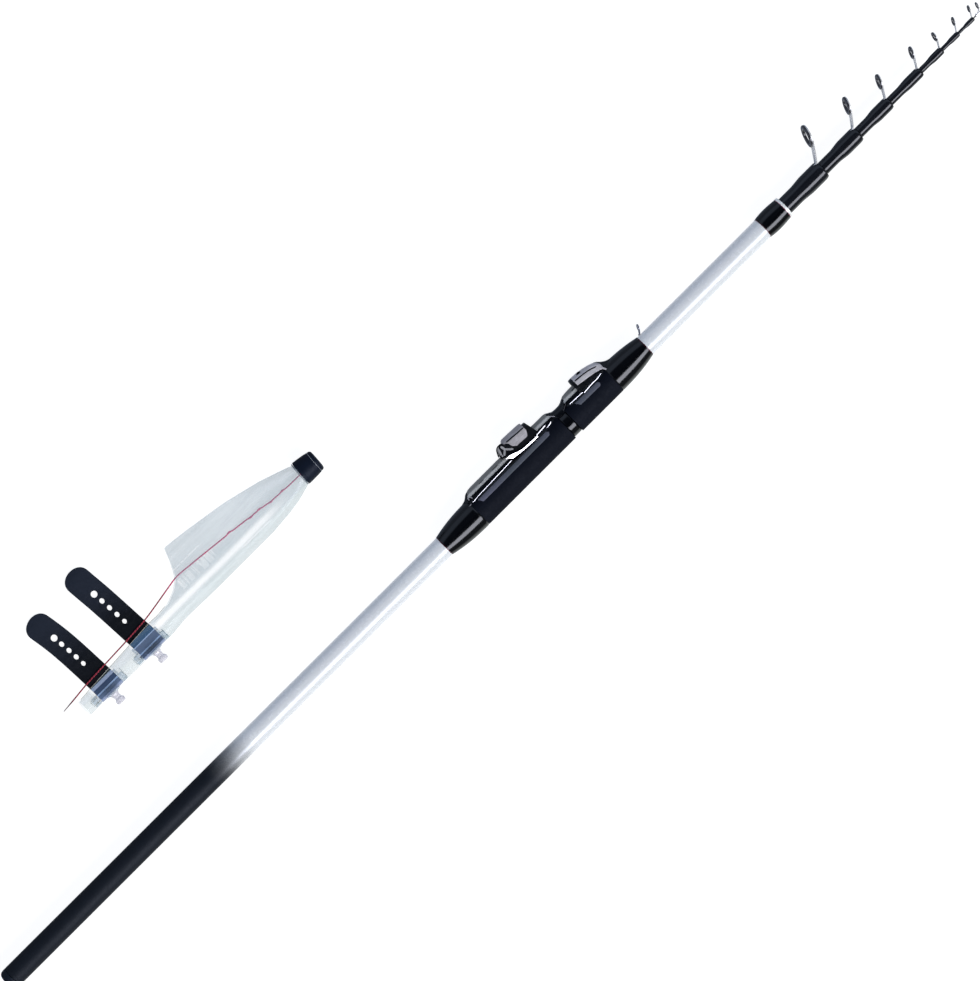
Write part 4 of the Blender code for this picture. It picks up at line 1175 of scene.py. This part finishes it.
ribbon("rim_front_a", "handle", RIM, grip_line([(564.0, 8.3), (570.0, 8.0), (576.3, 7.75)]), 0.42,
       20)
ribbon("rim_front_b", "handle", RIM, grip_line([(576.6, 6.75), (581.0, 7.1), (586.0, 7.4),
                                                  (590.0, 7.3), (594.6, 8.2)]), 0.45, 20)
ribbon("rear_end_post_a", "handle", DIM_EDGE, [(467.0, 10.2, 7.7), (467.1, 11.3, 8.0),
                                           (467.5, 12.4, 8.3)], 0.7, 14, 1.2)
ribbon("rear_end_post_b", "handle", DIM_EDGE, [(469.5, 9.6, 7.7), (469.2, 10.6, 7.95),
                                           (468.9, 11.5, 8.2)], 0.7, 14, 1.2)
ribbon("front_plate_mark", "handle", LINER, [(571.2, 13.95, 6.25), (575.0, 14.1, 6.2)], 0.7, -25)
ribbon("scale_mark_a", "handle", LINER, [(479.0, 13.55, 6.25), (484.0, 13.6, 6.22)], 0.35, -20)
ribbon("scale_mark_b", "handle", LINER, [(493.0, 13.95, 6.0), (498.2, 14.0, 5.95)], 0.3, -45)


def hood_side(stations, x, y, power=2.6):
    """How far out an arched shell reaches at a place along it."""
    half, shoulder, top = (between([(s[0], s[i]) for s in stations], x) for i in (1, 2, 3))
    if y <= shoulder:
        return half
    u = min(1.0, (y - shoulder) / (top - shoulder))
    return half * (1 - u ** power) ** (1 / power)


SLIDE = [
    (510.6, 9.0, 18.2, 23.1, 21.7, 0.95, 0.0), (511.4, 9.4, 18.2, 24.1, 21.1, 0.95, 0.0),
    (512.6, 9.6, 18.2, 24.6, 20.4, 1.0, 0.0),
    (514.0, 9.6, 18.2, 24.6, 19.2, 1.0, 0.0), (515.0, 9.6, 18.2, 24.55, 15.8, 1.0, 0.0),
    (517.2, 9.6, 18.2, 24.5, 13.9, 1.0, 0.0), (526.8, 9.6, 18.2, 24.1, 13.3, 1.0, 0.0),
    (528.4, 9.6, 18.1, 23.9, 14.9, 1.0, 0.0), (529.6, 9.6, 18.0, 23.6, 17.2, 0.95, 0.0)]
saddle("sliding_hood", "slider", GUN_HOOD, SLIDE, ["slider_hood"])
# painted shadow: a black strip along the hood's crease stands in for the shade in the crease
ribbon("slide_crease_shadow", "slider", BED_BLACK,
       [(x, y, hood_side(SLIDE, x, y) + 0.24) for x, y in
        ((513.6, 20.75), (519.0, 20.3), (524.0, 19.9), (529.5, 19.6))], 1.0, -25)
saddle("sliding_liner", "slider", LINER, [
    (510.5, 8.3, 18.0, 22.9, 12.0, 0.85, 0.0), (518.0, 8.3, 18.0, 22.9, 10.1, 0.85, 0.0),
    (529.4, 8.3, 17.9, 22.3, 9.6, 0.85, 0.0), (530.6, 8.3, 17.8, 22.2, 9.6, 0.85, 1.2),
    (532.2, 8.3, 17.8, 22.1, 9.6, 0.85, 2.6)], ["slider_liner"])


def slab_mesh(name, body, mat, outline, z0, z1, replaces=(), bevel=0.15, per=1,
              hole=None, hole_n=28):
    """A flat plate cut to an outline in the XY plane, with a soft edge."""
    data = bpy.data.curves.new(name + "_c", "CURVE")
    data.dimensions = "2D"
    data.fill_mode = "BOTH"
    data.extrude = (z1 - z0) / 2
    loops = [outline] + ([] if hole is None else [
        [(hole[0] + hole[2] * math.cos(2 * math.pi * i / hole_n),
          hole[1] + hole[2] * math.sin(2 * math.pi * i / hole_n)) for i in range(hole_n)]])
    for loop in loops:
        spline = data.splines.new("POLY")
        spline.points.add(len(loop) - 1)
        spline.use_cyclic_u = True
        for sp, p in zip(spline.points, loop):
            sp.co = (p[0], p[1], 0.0, 1.0)
    tmp = bpy.data.objects.new(name + "_c", data)
    scene.collection.objects.link(tmp)
    mesh = bpy.data.meshes.new_from_object(tmp.evaluated_get(bpy.context.evaluated_depsgraph_get()))
    bpy.data.objects.remove(tmp, do_unlink=True)
    bm = bmesh.new()
    bm.from_mesh(mesh)
    bmesh.ops.remove_doubles(bm, verts=bm.verts[:], dist=0.001)
    bmesh.ops.translate(bm, vec=(0, 0, (z0 + z1) / 2), verts=bm.verts[:])
    bmesh.ops.scale(bm, vec=(MM, MM, MM), verts=bm.verts[:])
    bmesh.ops.dissolve_limit(bm, angle_limit=math.radians(1.0), verts=bm.verts[:],
                             edges=bm.edges[:])
    ob = finish_mesh(name, bm, mat, body, replaces, 32)
    if bevel:
        mod = ob.modifiers.new("edges", "BEVEL")
        mod.width = bevel * MM
        mod.segments = 2
        mod.limit_method = "ANGLE"
        mod.angle_limit = math.radians(40)
    return ob


EAR = [(505.2, 19.8), (503.7, 17.0), (502.9, 15.3), (503.4, 14.2), (508.6, 13.0),
       (513.2, 12.1), (513.2, 17.8), (511.4, 19.0), (511.2, 22.0), (509.9, 23.1), (508.2, 23.1),
       (507.3, 22.0)]
for tag, z0, z1 in (("upper", 7.45, 8.25), ("lower", -8.25, -7.45)):
    slab_mesh(f"hinge_ear_{tag}", "slider", LINER, EAR, z0, z1, bevel=0.2)
# a three-armed rib and a side band on each ear
ribbon("ear_band", "slider", GUN_LEVER, [(506.5, 21.2, 8.5), (505.8, 19.2, 8.5), (505.2, 17.2, 8.5),
                                        (505.2, 15.2, 8.5)], 1.35, 0, ends=0.6)
ribbon("ear_rib_stem", "slider", GUN_LEVER, [(508.9, 21.3, 8.5), (509.2, 19.5, 8.5), (509.7, 17.8, 8.5)],
       1.8, 0, ends=0.6)
ribbon("ear_rib_left", "slider", GUN_LEVER, [(509.7, 18.0, 8.52), (508.0, 16.6, 8.52),
                                            (506.2, 14.9, 8.52)], 1.45, 0, ends=0.6)
ribbon("ear_rib_right", "slider", GUN_LEVER, [(509.7, 18.0, 8.54), (511.6, 15.9, 8.54),
                                             (514.0, 14.0, 8.54)], 1.4, 0, ends=0.6)
LEVER = [(508.0, 23.15), (506.3, 22.9), (504.9, 21.8), (503.8, 20.2), (502.9, 18.5),
         (502.3, 16.85), (504.7, 16.85), (505.7, 18.2), (506.6, 19.5), (507.4, 19.7),
         (508.4, 19.7), (509.2, 20.2), (509.7, 21.0), (509.72, 21.8), (509.2, 22.7)]
slab_mesh("clamp_lever", "lever", GUN_LEVER, LEVER, -6.3, 6.3, ["lock_lever"], 0.25,
          hole=(508.0, 21.4, 1.35))
ribbon("lever_edge", "lever", LINER, [(508.6, 22.85, 6.42), (506.5, 22.5, 6.42), (505.0, 21.4, 6.42),
                                     (504.1, 19.8, 6.42), (503.3, 18.2, 6.42),
                                     (502.9, 17.1, 6.42)], 0.8, 0)
turned("pivot_pin", "slider", STEEL, [
    (7.1, 0.0), (7.1, 0.9), (6.9, 1.1), (-6.9, 1.1), (-7.1, 0.9), (-7.1, 0.0)], 32, 0.1,
    closed=False, matrix=Matrix.Translation(Vector((508.0, 21.4, 0.0)))
    @ Matrix.Rotation(math.pi / 2, 4, "Y"), replaces=["lever_pin"])


def wedge(name, sign):
    """The polished clamping wedge on the slider's flank, a plane leaning towards the grip."""
    outline = [(504.9, 12.55), (506.7, 11.75), (508.0, 10.5), (508.9, 9.4), (514.0, 8.75),
               (520.0, 8.2), (526.0, 7.85), (532.4, 7.7), (532.4, 8.75), (524.0, 8.95),
               (518.0, 9.5), (514.4, 10.45), (511.8, 11.7), (508.4, 12.6)]
    bm = bmesh.new()
    tops, lows = [], []
    for x, y in outline:
        z = 9.25 + 0.34 * (y - 7.35)
        base = 8.97 if y < 9.6 else 8.05
        tops.append(bm.verts.new((x, y, z * sign)))
        lows.append(bm.verts.new((x, y, base * sign)))
    bm.faces.new(tops)
    bm.faces.new(lows[::-1])
    n = len(outline)
    for i in range(n):
        j = (i + 1) % n
        bm.faces.new((tops[i], lows[i], lows[j], tops[j]))
    bmesh.ops.triangulate(bm, faces=[f for f in bm.faces if len(f.verts) > 4])
    bmesh.ops.scale(bm, vec=(MM, MM, MM), verts=bm.verts[:])
    ob = finish_mesh(name, bm, BRIGHT, "slider", sharp=20)
    mod = ob.modifiers.new("edges", "BEVEL")
    mod.width = 0.12 * MM
    mod.segments = 2
    mod.limit_method = "ANGLE"
    mod.angle_limit = math.radians(40)
    return ob


wedge("clamp_wedge_upper", 1)
wedge("clamp_wedge_lower", -1)

FIXED = [
    (576.9, 9.2, 15.8, 20.9, 13.8, 0.9, 0.0),
    (582.0, 9.2, 15.6, 20.7, 13.0, 0.9, 0.0), (587.4, 9.1, 15.1, 19.9, 12.2, 0.9, 0.0),
    (592.0, 8.9, 14.4, 18.8, 11.4, 0.9, 0.0), (595.6, 8.6, 13.5, 17.5, 10.4, 0.9, 0.0),
    (597.2, 8.2, 12.8, 16.4, 9.8, 0.9, 0.0), (598.1, 7.9, 12.4, 15.2, 9.6, 0.9, 0.0),
    (598.7, 7.6, 12.0, 14.0, 10.2, 0.9, 0.0)]
saddle("fixed_hood", "handle", GUN_FRONT, FIXED, ["front_hood"])
saddle("fixed_hood_rim", "handle", LINER, [
    (574.4, 8.7, 15.8, 20.3, 12.4, 0.9, 0.0), (574.9, 9.1, 15.8, 20.75, 12.0, 0.9, 0.0),
    (577.1, 9.12, 15.8, 20.85, 12.0, 0.9, 0.0)], [], bevel=0.18)
# painted shadow: a black strip along the front hood's crease stands in for the shade in the crease
ribbon("fixed_crease_shadow", "handle", BED_BLACK,
       [(x, y, hood_side(FIXED, x, y) + 0.16) for x, y in
        ((577.4, 17.3), (583.0, 16.7), (588.0, 16.0), (592.0, 15.0), (595.4, 13.8))], 0.85, -12)
ribbon("fixed_tail", "handle", GUN_FRONT, [(597.2, 10.8, 8.6), (598.2, 9.3, 8.9), (599.2, 7.4, 9.4)],
       1.3, 6, 0.9, ends=0.5)
saddle("fixed_liner", "handle", LINER, [
    (574.6, 7.9, 15.4, 19.6, 9.7, 0.55, 0.0), (582.0, 7.9, 15.4, 19.45, 9.3, 0.55, 0.0),
    (587.4, 7.8, 14.9, 18.6, 9.3, 0.55, 0.0), (592.0, 7.6, 14.1, 17.5, 9.4, 0.55, 0.0),
    (595.4, 7.3, 13.2, 16.1, 9.7, 0.55, 0.0)], ["front_hood_liner"], bevel=0.08)


for tag, z0, z1 in (("upper", 6.2, 7.9), ("lower", -7.9, -6.2)):
    slab_mesh(f"hood_rivet_{tag}", "handle", LINER, [
        (581.2, 19.4), (582.3, 20.2), (583.4, 20.5), (584.6, 20.0), (585.3, 19.3), (584.3, 18.6),
        (583.2, 18.25), (582.1, 18.6)], z0, z1, bevel=0.3)


def lip_band(name, x0, x1, y0, y1, half, rise=0.22, sign=1, slant=2.6):
    """A moulded raised band along the grip, following its round surface."""
    rings = []
    n = 48
    for i in range(n + 1):
        u = (i / n) ** 1.15 if i < n else 1.0
        x = x0 + (x1 - x0) * u
        nose = min(1.0, (x1 - x) / (half * 1.3))
        w = max(0.08, half * math.sqrt(max(0.0, 1 - (1 - nose) ** 2.4)))
        tail = min(1.0, (x - x0) / 0.5)
        y = y0 + (y1 - y0) * u
        mid_a = math.asin(y / GRIP_R)
        row, under = [], []
        for k in range(9):
            v = -1 + k / 4
            a = mid_a + v * w / GRIP_R / math.cos(mid_a) * 0.97
            h = GRIP_R + 0.02 + rise * (1 - abs(v) ** 4) * min(1.0, 4 * min(nose, tail + 0.15))
            shift = slant * (v + 1) / 2 * (1 - ease(x0, x0 + 9.0, x))
            row.append((x + shift, h * math.sin(a), sign * h * math.cos(a)))
            g = GRIP_R - 0.35
            under.append((x + shift, g * math.sin(a), sign * g * math.cos(a)))
        rings.append(row + under[::-1])
    return loft(name, "handle", LIP, rings, sharp=50)


# the raised bands are real shape; their pale grey-blue satin is a painted highlight on the grip's upper
# facet
for tag, sign in (("upper", 1), ("lower", -1)):
    lip_band(f"rear_lip_{tag}", 473.6, 540.0, 4.55, 4.75, 1.85, sign=sign, slant=-2.4)
    lip_band(f"front_lip_{tag}", 569.0, 589.2, 4.45, 4.2, 1.9, sign=sign, slant=-2.6)

# ============================================================= tip cover

CAP_AT, CAP_TURN, CAP_HEIGHT = (396.5, 107.0), -4.1, 9.75
cap_matrix = (Matrix.Translation(Vector((CAP_AT[0], CAP_AT[1], FLOOR + CAP_HEIGHT)))
              @ Matrix.Rotation(math.radians(CAP_TURN), 4, "Z"))
crown = []
for k in range(9):
    a = math.pi / 2 * k / 8
    crown.append((13.3 + 2.1 * math.cos(a), 6.15 + 2.0 * math.sin(a)))
turned("end_cup", "tip_cover", CAP_BLACK,
       [(15.4, 0.0), (15.4, 5.4)] + crown[:-1] + [(13.1, 8.2), (12.6, 8.0), (12.1, 8.35),
       (9.0, 8.85), (2.4, 9.40), (2.1, 9.2), (1.8, 9.42), (0.4, 9.45), (0.0, 9.2), (0.0, 8.55),
       (6.4, 8.55), (6.4, 0.0)], 72, 0.12, closed=False,
       matrix=cap_matrix, replaces=["cover_cap"], sharp=40, steps=2)
# one pale grey for two rings: the base collar, the film's own hem, and the crown line, a painted
# highlight
CAP_LINE = satin_black("cap_line", (0.180, 0.200, 0.230), 0.35)
turned("cap_base_line", "tip_cover", CAP_LINE, ring(-1.15, -0.55, 8.75, 9.15), 64, 0.1,
       matrix=cap_matrix)
# painted highlight: a pale grey ring set in the crown's groove stands in for the light along the crown's
# edge
turned("cap_crown_highlight", "tip_cover", CAP_LINE, ring(12.45, 12.75, 7.90, 8.30), 64, 0.06,
       matrix=cap_matrix)

FILM_LOW = [(173.0, 91.2), (252.0, 90.6), (268.0, 92.0), (300.0, 91.4), (354.0, 91.4),
            (372.0, 92.9), (382.0, 94.4), (392.0, 96.9), (397.5, 98.6), (401.6, 98.7)]
FILM_FIN = [(173.0, 104.0), (200.0, 105.5), (246.0, 108.6), (262.0, 124.0), (291.8, 138.4),
            (300.0, 137.4), (313.0, 135.8), (344.5, 130.7), (372.0, 124.0), (392.0, 117.2),
            (397.5, 114.55), (401.6, 114.35)]
FILM_CUT = [(173.0, 103.4), (200.0, 104.9), (246.0, 107.6), (256.0, 107.3), (266.3, 108.2),
            (275.3, 111.9), (281.8, 116.6), (285.8, 123.2), (288.9, 130.4), (291.8, 137.8),
            (300.0, 137.0), (313.0, 135.4), (344.5, 130.4), (372.0, 123.7), (392.0, 116.9),
            (397.5, 114.4), (401.6, 114.2)]
FILM_HALF = [(173.0, 5.4), (246.0, 5.6), (275.0, 7.0), (320.0, 7.6), (372.0, 8.0),
             (397.5, 7.7), (401.6, 7.7)]
FILM_SHARP = [(173.0, 0.50), (246.0, 0.55), (276.0, 1.10), (300.0, 1.35), (344.0, 1.05),
              (376.0, 0.70), (397.5, 0.50), (401.6, 0.50)]
FILM_LIFT = [(173.0, 2.75), (252.0, 2.75), (274.0, 1.2), (300.0, 0.30), (380.0, 0.35),
             (397.5, 2.05), (401.6, 2.05)]


def film_section(x):
    low, fin = between(FILM_LOW, x), between(FILM_FIN, x)
    cut, half = between(FILM_CUT, x), between(FILM_HALF, x)
    sharp, lift = between(FILM_SHARP, x), between(FILM_LIFT, x)
    return low, fin, cut, half, sharp, FLOOR + lift + half


def film_height(x, y, side):
    low, fin, cut, half, sharp, mid_z = film_section(x)
    u = min(1.0, max(0.0, (y - low) / (fin - low)))
    peak = 0.5 / (0.5 + sharp)
    top = peak ** 0.5 * (1 - peak) ** sharp
    return mid_z + side * (half * (u ** 0.5 * (1 - u) ** sharp) / top + 0.35 * u)


def film_piece():
    """The folded sheet: one open skin from its lower layer's edge to its upper one's."""
    xs = []
    x = 173.0
    while x < 401.6:
        xs.append(x)
        x += 1.6 if 246 <= x < 300 else 2.6
    xs.append(401.6)
    across = 34
    bm = bmesh.new()
    grid = []
    for x in xs:
        low, fin, cut, half, sharp, mid_z = film_section(x)
        row = []
        for k in range(-across, across + 1):
            w = k / across
            s = (1 - math.cos(math.pi * abs(w))) / 2
            p = abs(w) ** 1.7
            m = ease(0.55, 0.75, sharp)
            span = s * (1 - m) + p * m
            y = low + (cut - low) * span
            z = mid_z if k == 0 else film_height(x, y, -1 if w > 0 else 1)
            # soft wrinkles, fading out at the fold, the cap and the floor side
            q = Vector((x * 0.035, y * 0.10, 3.1 if w < 0 else 9.7))
            wr = noise.noise(q) * 0.55 + noise.noise(q * 2.7) * 0.28
            fade = ease(0.0, 0.25, abs(w)) * ease(401.0, 385.0, x) * ease(173.0, 180.0, x)
            lift = wr * fade * (0.9 if w < 0 else 0.25)
            z = z + lift
            z = max(z, FLOOR + 0.12)
            row.append(bm.verts.new(Vector((x, y, z)) * MM))
        grid.append(row)
    for a, b in zip(grid, grid[1:]):
        for i in range(len(a) - 1):
            bm.faces.new((a[i], a[i + 1], b[i + 1], b[i]))
    bm.normal_update()
    mesh = bpy.data.meshes.new("film_sleeve")
    bm.to_mesh(mesh)
    bm.free()
    ob = wrap_mesh("film_sleeve", mesh, FILM, "tip_cover", ["cover_sleeve"], 70)
    return ob


sleeve = film_piece()


# straps with rounded ends, soft edges and rimmed holes


def strap_piece(name, node, way, hole_at):
    """A bent rubber strap: rounded free end, soft edges, a row of holes."""
    half = 9.68
    fine = catmull([Vector((x, y, 0.0)) for x, y in way], 6)
    left, right = [], []
    for i in range(6, len(fine)):
        run = (fine[min(i + 1, len(fine) - 1)] - fine[i - 1]).normalized()
        side = Vector((-run.y, run.x, 0.0))
        left.append(fine[i] + side * half)
        right.append(fine[i] - side * half)
    run = (fine[4] - fine[0]).normalized()
    side = Vector((-run.y, run.x, 0.0))
    nose = fine[0] + run * half * 0.95
    pts = left[::-1]
    for i in range(27):
        a = math.pi * i / 26
        pts.append(nose + side * half * math.cos(a) - run * half * 0.95 * max(0.0, math.sin(a)) ** 0.8)
    pts += right
    outline = [(q.x, q.y) for q in pts]
    data = bpy.data.curves.new(name + "_c", "CURVE")
    data.dimensions = "2D"
    data.fill_mode = "BOTH"
    data.extrude = 0.72
    data.bevel_depth = 0.26
    data.bevel_resolution = 3
    loops = [outline]
    for i, along in enumerate(hole_at):
        gone = along
        for a, b in zip(way, way[1:]):
            a, b = Vector(a), Vector(b)
            if gone <= (b - a).length:
                break
            gone -= (b - a).length
        c = a + (b - a).normalized() * gone
        r = (2.50, 2.05, 2.0, 2.0, 1.85)[i] + 0.22
        squash = 1.0 if i == 0 else 0.90
        loops.append([(c.x + r * squash * math.cos(2 * math.pi * k / 32),
                       c.y + r * math.sin(2 * math.pi * k / 32)) for k in range(32)])
    for loop in loops:
        spline = data.splines.new("POLY")
        spline.points.add(len(loop) - 1)
        spline.use_cyclic_u = True
        for sp, q in zip(spline.points, loop):
            sp.co = (q[0], q[1], 0.0, 1.0)
    tmp = bpy.data.objects.new(name + "_c", data)
    scene.collection.objects.link(tmp)
    mesh = bpy.data.meshes.new_from_object(tmp.evaluated_get(bpy.context.evaluated_depsgraph_get()))
    bpy.data.objects.remove(tmp, do_unlink=True)
    bm = bmesh.new()
    bm.from_mesh(mesh)
    bmesh.ops.remove_doubles(bm, verts=bm.verts[:], dist=0.002)
    for v in bm.verts:
        v.co.z += FLOOR + 0.15 + 0.98 + 0.02
        v.co *= MM
    return finish_mesh(name, bm, RUBBER, "tip_cover", [node], 50)


strap_piece("upper_strap", "cover_strap_upper",
            [(231.7, 172.8), (232.7, 159.0), (233.9, 145.0), (234.9, 128.0), (235.8, 110.0),
             (236.7, 92.2)], [23.0, 30.3, 37.4, 44.5, 51.6])
strap_piece("lower_strap", "cover_strap_lower",
            [(188.4, 168.9), (190.4, 157.5), (192.1, 146.0), (193.3, 132.0), (194.2, 112.0),
             (194.9, 92.4)], [21.3, 28.1, 34.9, 41.7, 48.5])

STUD = [(0.0, 0.0), (0.0, 3.4), (0.9, 3.3), (2.0, 2.7), (4.4, 2.45), (5.2, 3.1),
        (5.8, 3.6), (7.7, 3.6), (8.6, 2.9), (8.6, 0.0)]
for name, node, sx in (("upper_stud", "cover_stud_upper", 236.8),
                       ("lower_stud", "cover_stud_lower", 195.2)):
    face = between(FILM_LOW, sx) - 0.175 - 0.3
    at = (Matrix.Translation(Vector((sx, face, FLOOR + 2.75 + 5.5)))
          @ Matrix.Rotation(-math.pi / 2, 4, "Z"))
    turned(name, "tip_cover", CLEAR, STUD[::-1], 40, 0.3, closed=False, matrix=at,
           replaces=[node], sharp=50)

# inside the sleeve, over each strap: a moulded clip with ridges, and clear end plates
CLIP_Z = FLOOR + 3.9
for tag, sx in (("upper", 236.8), ("lower", 195.2)):
    slab_mesh(f"{tag}_stud_foot", "tip_cover", CLIP, [
        (sx - 5.6, 91.0), (sx - 4.4, 90.35), (sx + 4.4, 90.35), (sx + 5.6, 91.0), (sx + 5.0, 91.7),
        (sx - 5.0, 91.7)], FLOOR + 3.2, FLOOR + 10.6, bevel=0.2)


def clip(tag, x0, x1, bands, plates, edges):
    first, last = x0, x1
    for i, (kind, ya, yb, up_z) in enumerate(bands):
        y = (ya + yb) / 2
        step = 1.6 if kind == "dusk" and ya < 95 else 0.0
        x0, x1 = first - step, last + step
        ribbon(f"{tag}_clip_band_{i}", "tip_cover", SMOKE[kind],
               [(x0, y, CLIP_Z + up_z), ((x0 + x1) / 2, y, CLIP_Z + up_z), (x1, y, CLIP_Z + up_z)],
               yb - ya, 0, 0.9, ends=1.0, mirror=False)
    for i, (xa, xb, ya, yb) in enumerate(plates):
        x = (xa + xb) / 2
        ribbon(f"{tag}_clip_plate_{i}", "tip_cover", CLIP,
               [(x, ya, CLIP_Z + 0.3), (x, (ya + yb) / 2, CLIP_Z + 0.3), (x, yb, CLIP_Z + 0.3)],
               xb - xa, 0, 0.8, ends=1.0, mirror=False)
    for i, (xa, ya, xb, yb) in enumerate(edges):
        ribbon(f"{tag}_clip_edge_{i}", "tip_cover", CLIP_EDGE,
               [(xa, ya, CLIP_Z + 0.6), ((xa + xb) / 2, (ya + yb) / 2, CLIP_Z + 0.6),
                (xb, yb, CLIP_Z + 0.6)], 0.28, 0, 0.4, ends=1.0,
               mirror=False)


clip("upper", 226.6, 246.4,
     [("deep", 102.9, 107.2, 0.0), ("line", 102.1, 102.9, 0.25), ("slate", 96.9, 102.1, 0.1),
      ("line", 95.9, 96.9, 0.35), ("dusk", 93.1, 95.9, 0.1), ("haze", 92.2, 93.1, 0.0),
      ("mist", 91.3, 92.2, -0.1)],
     [(246.5, 248.2, 98.0, 103.6), (246.5, 250.4, 91.4, 98.0), (221.2, 226.5, 92.0, 98.3),
      (224.6, 226.5, 98.3, 103.4)],
     [(249.9, 99.3, 249.9, 92.2), (246.9, 97.9, 249.6, 97.9), (220.7, 98.2, 220.7, 93.2),
      (222.3, 98.4, 226.4, 98.4)])
clip("lower", 184.9, 204.8,
     [("lavender", 101.3, 104.0, 0.0), ("dusk", 97.8, 101.3, 0.1), ("line", 96.7, 97.8, 0.35),
      ("slate", 93.6, 96.7, 0.1), ("haze", 92.5, 93.6, 0.0), ("mist", 91.5, 92.5, -0.1)],
     [(204.9, 206.8, 98.0, 102.8), (204.9, 209.2, 91.6, 98.0), (179.0, 184.8, 92.0, 98.3)],
     [(209.6, 100.6, 209.6, 92.0), (205.4, 98.0, 208.9, 98.0), (178.4, 97.6, 178.4, 93.4),
      (180.0, 98.4, 184.7, 98.4)])
ribbon("film_seam", "tip_cover", SEAM,
       [(x, between(FILM_CUT, x) + 0.1, film_height(x, between(FILM_CUT, x), 1) + 0.35)
        for x in (176.0, 190.0, 204.0, 220.0, 234.0, 246.0, 256.0, 264.0)], 0.34, 0, 0.2,
       ends=1.0, mirror=False)

# the cord: from the cap along the lower layer, out at the notch, over the straps

CORD_R = 0.5
CORD_WAY = [(402.3, 106.9), (394.0, 107.0), (378.9, 107.5), (367.8, 108.5), (350.1, 110.8),
            (331.9, 112.9), (312.2, 115.0), (297.0, 116.5), (283.6, 117.5), (272.4, 115.9),
            (258.0, 113.5), (245.1, 111.7), (227.4, 110.5), (206.1, 109.6), (185.9, 108.7),
            (173.3, 107.6), (160.2, 106.5)]


def cord_height(x, y):
    inside = film_height(x, max(y, between(FILM_LOW, x) + 0.5), -1) + 0.25 + CORD_R + 0.45
    on_straps = FLOOR + 0.15 + 2.0 + CORD_R + 0.35
    on_floor = FLOOR + 0.15 + CORD_R + 0.1
    outside = on_straps
    if x < 183.0:
        outside = outside + (on_floor - outside) * (1 - ease(168.0, 183.0, x))
    blend = ease(252.0, 277.0, x)
    return outside + (inside + 0.45 * ease(300.0, 372.0, x) - outside) * blend


KINKS = [(378.4, 0.50), (367.4, -0.50), (357.9, 0.45), (349.6, -0.55), (331.4, 0.70)]


def cord_line():
    flat = [Vector((x, y, 0.0)) for x, y in CORD_WAY]
    fine = catmull(flat, 24)
    line = []
    for p in fine:
        y = p.y
        for kx, amount in KINKS:
            y += amount * math.exp(-((p.x - kx) / 1.9) ** 2)
        line.append(Vector((p.x, y, cord_height(p.x, p.y))))
    # even spacing
    total = sum((b - a).length for a, b in zip(line, line[1:]))
    count = round(total / 1.05)
    step = total / count
    out, gone, target = [line[0]], 0.0, step
    for a, b in zip(line, line[1:]):
        seg = (b - a).length
        while seg > 0 and gone + seg >= target - 1e-9 and len(out) < count:
            out.append(a + (b - a) * ((target - gone) / seg))
            target += step
        gone += seg
    out.append(line[-1])
    return out, total


cord_points, cord_total = cord_line()
cord_radii = []
for i, p in enumerate(cord_points):
    r = CORD_R
    left = cord_total * (1 - i / (len(cord_points) - 1))
    r *= 0.55 + 0.45 * ease(0.0, 11.0, left)
    for kx, amount in KINKS:
        r *= 1 + 0.55 * math.exp(-((p.x - kx) / 0.9) ** 2)
    cord_radii.append(r)
cord_ob = sweep("pull_cord", "tip_cover", CORD_MAT, cord_points, cord_radii, 12,
                replaces=["cover_cord"], sharp=80)
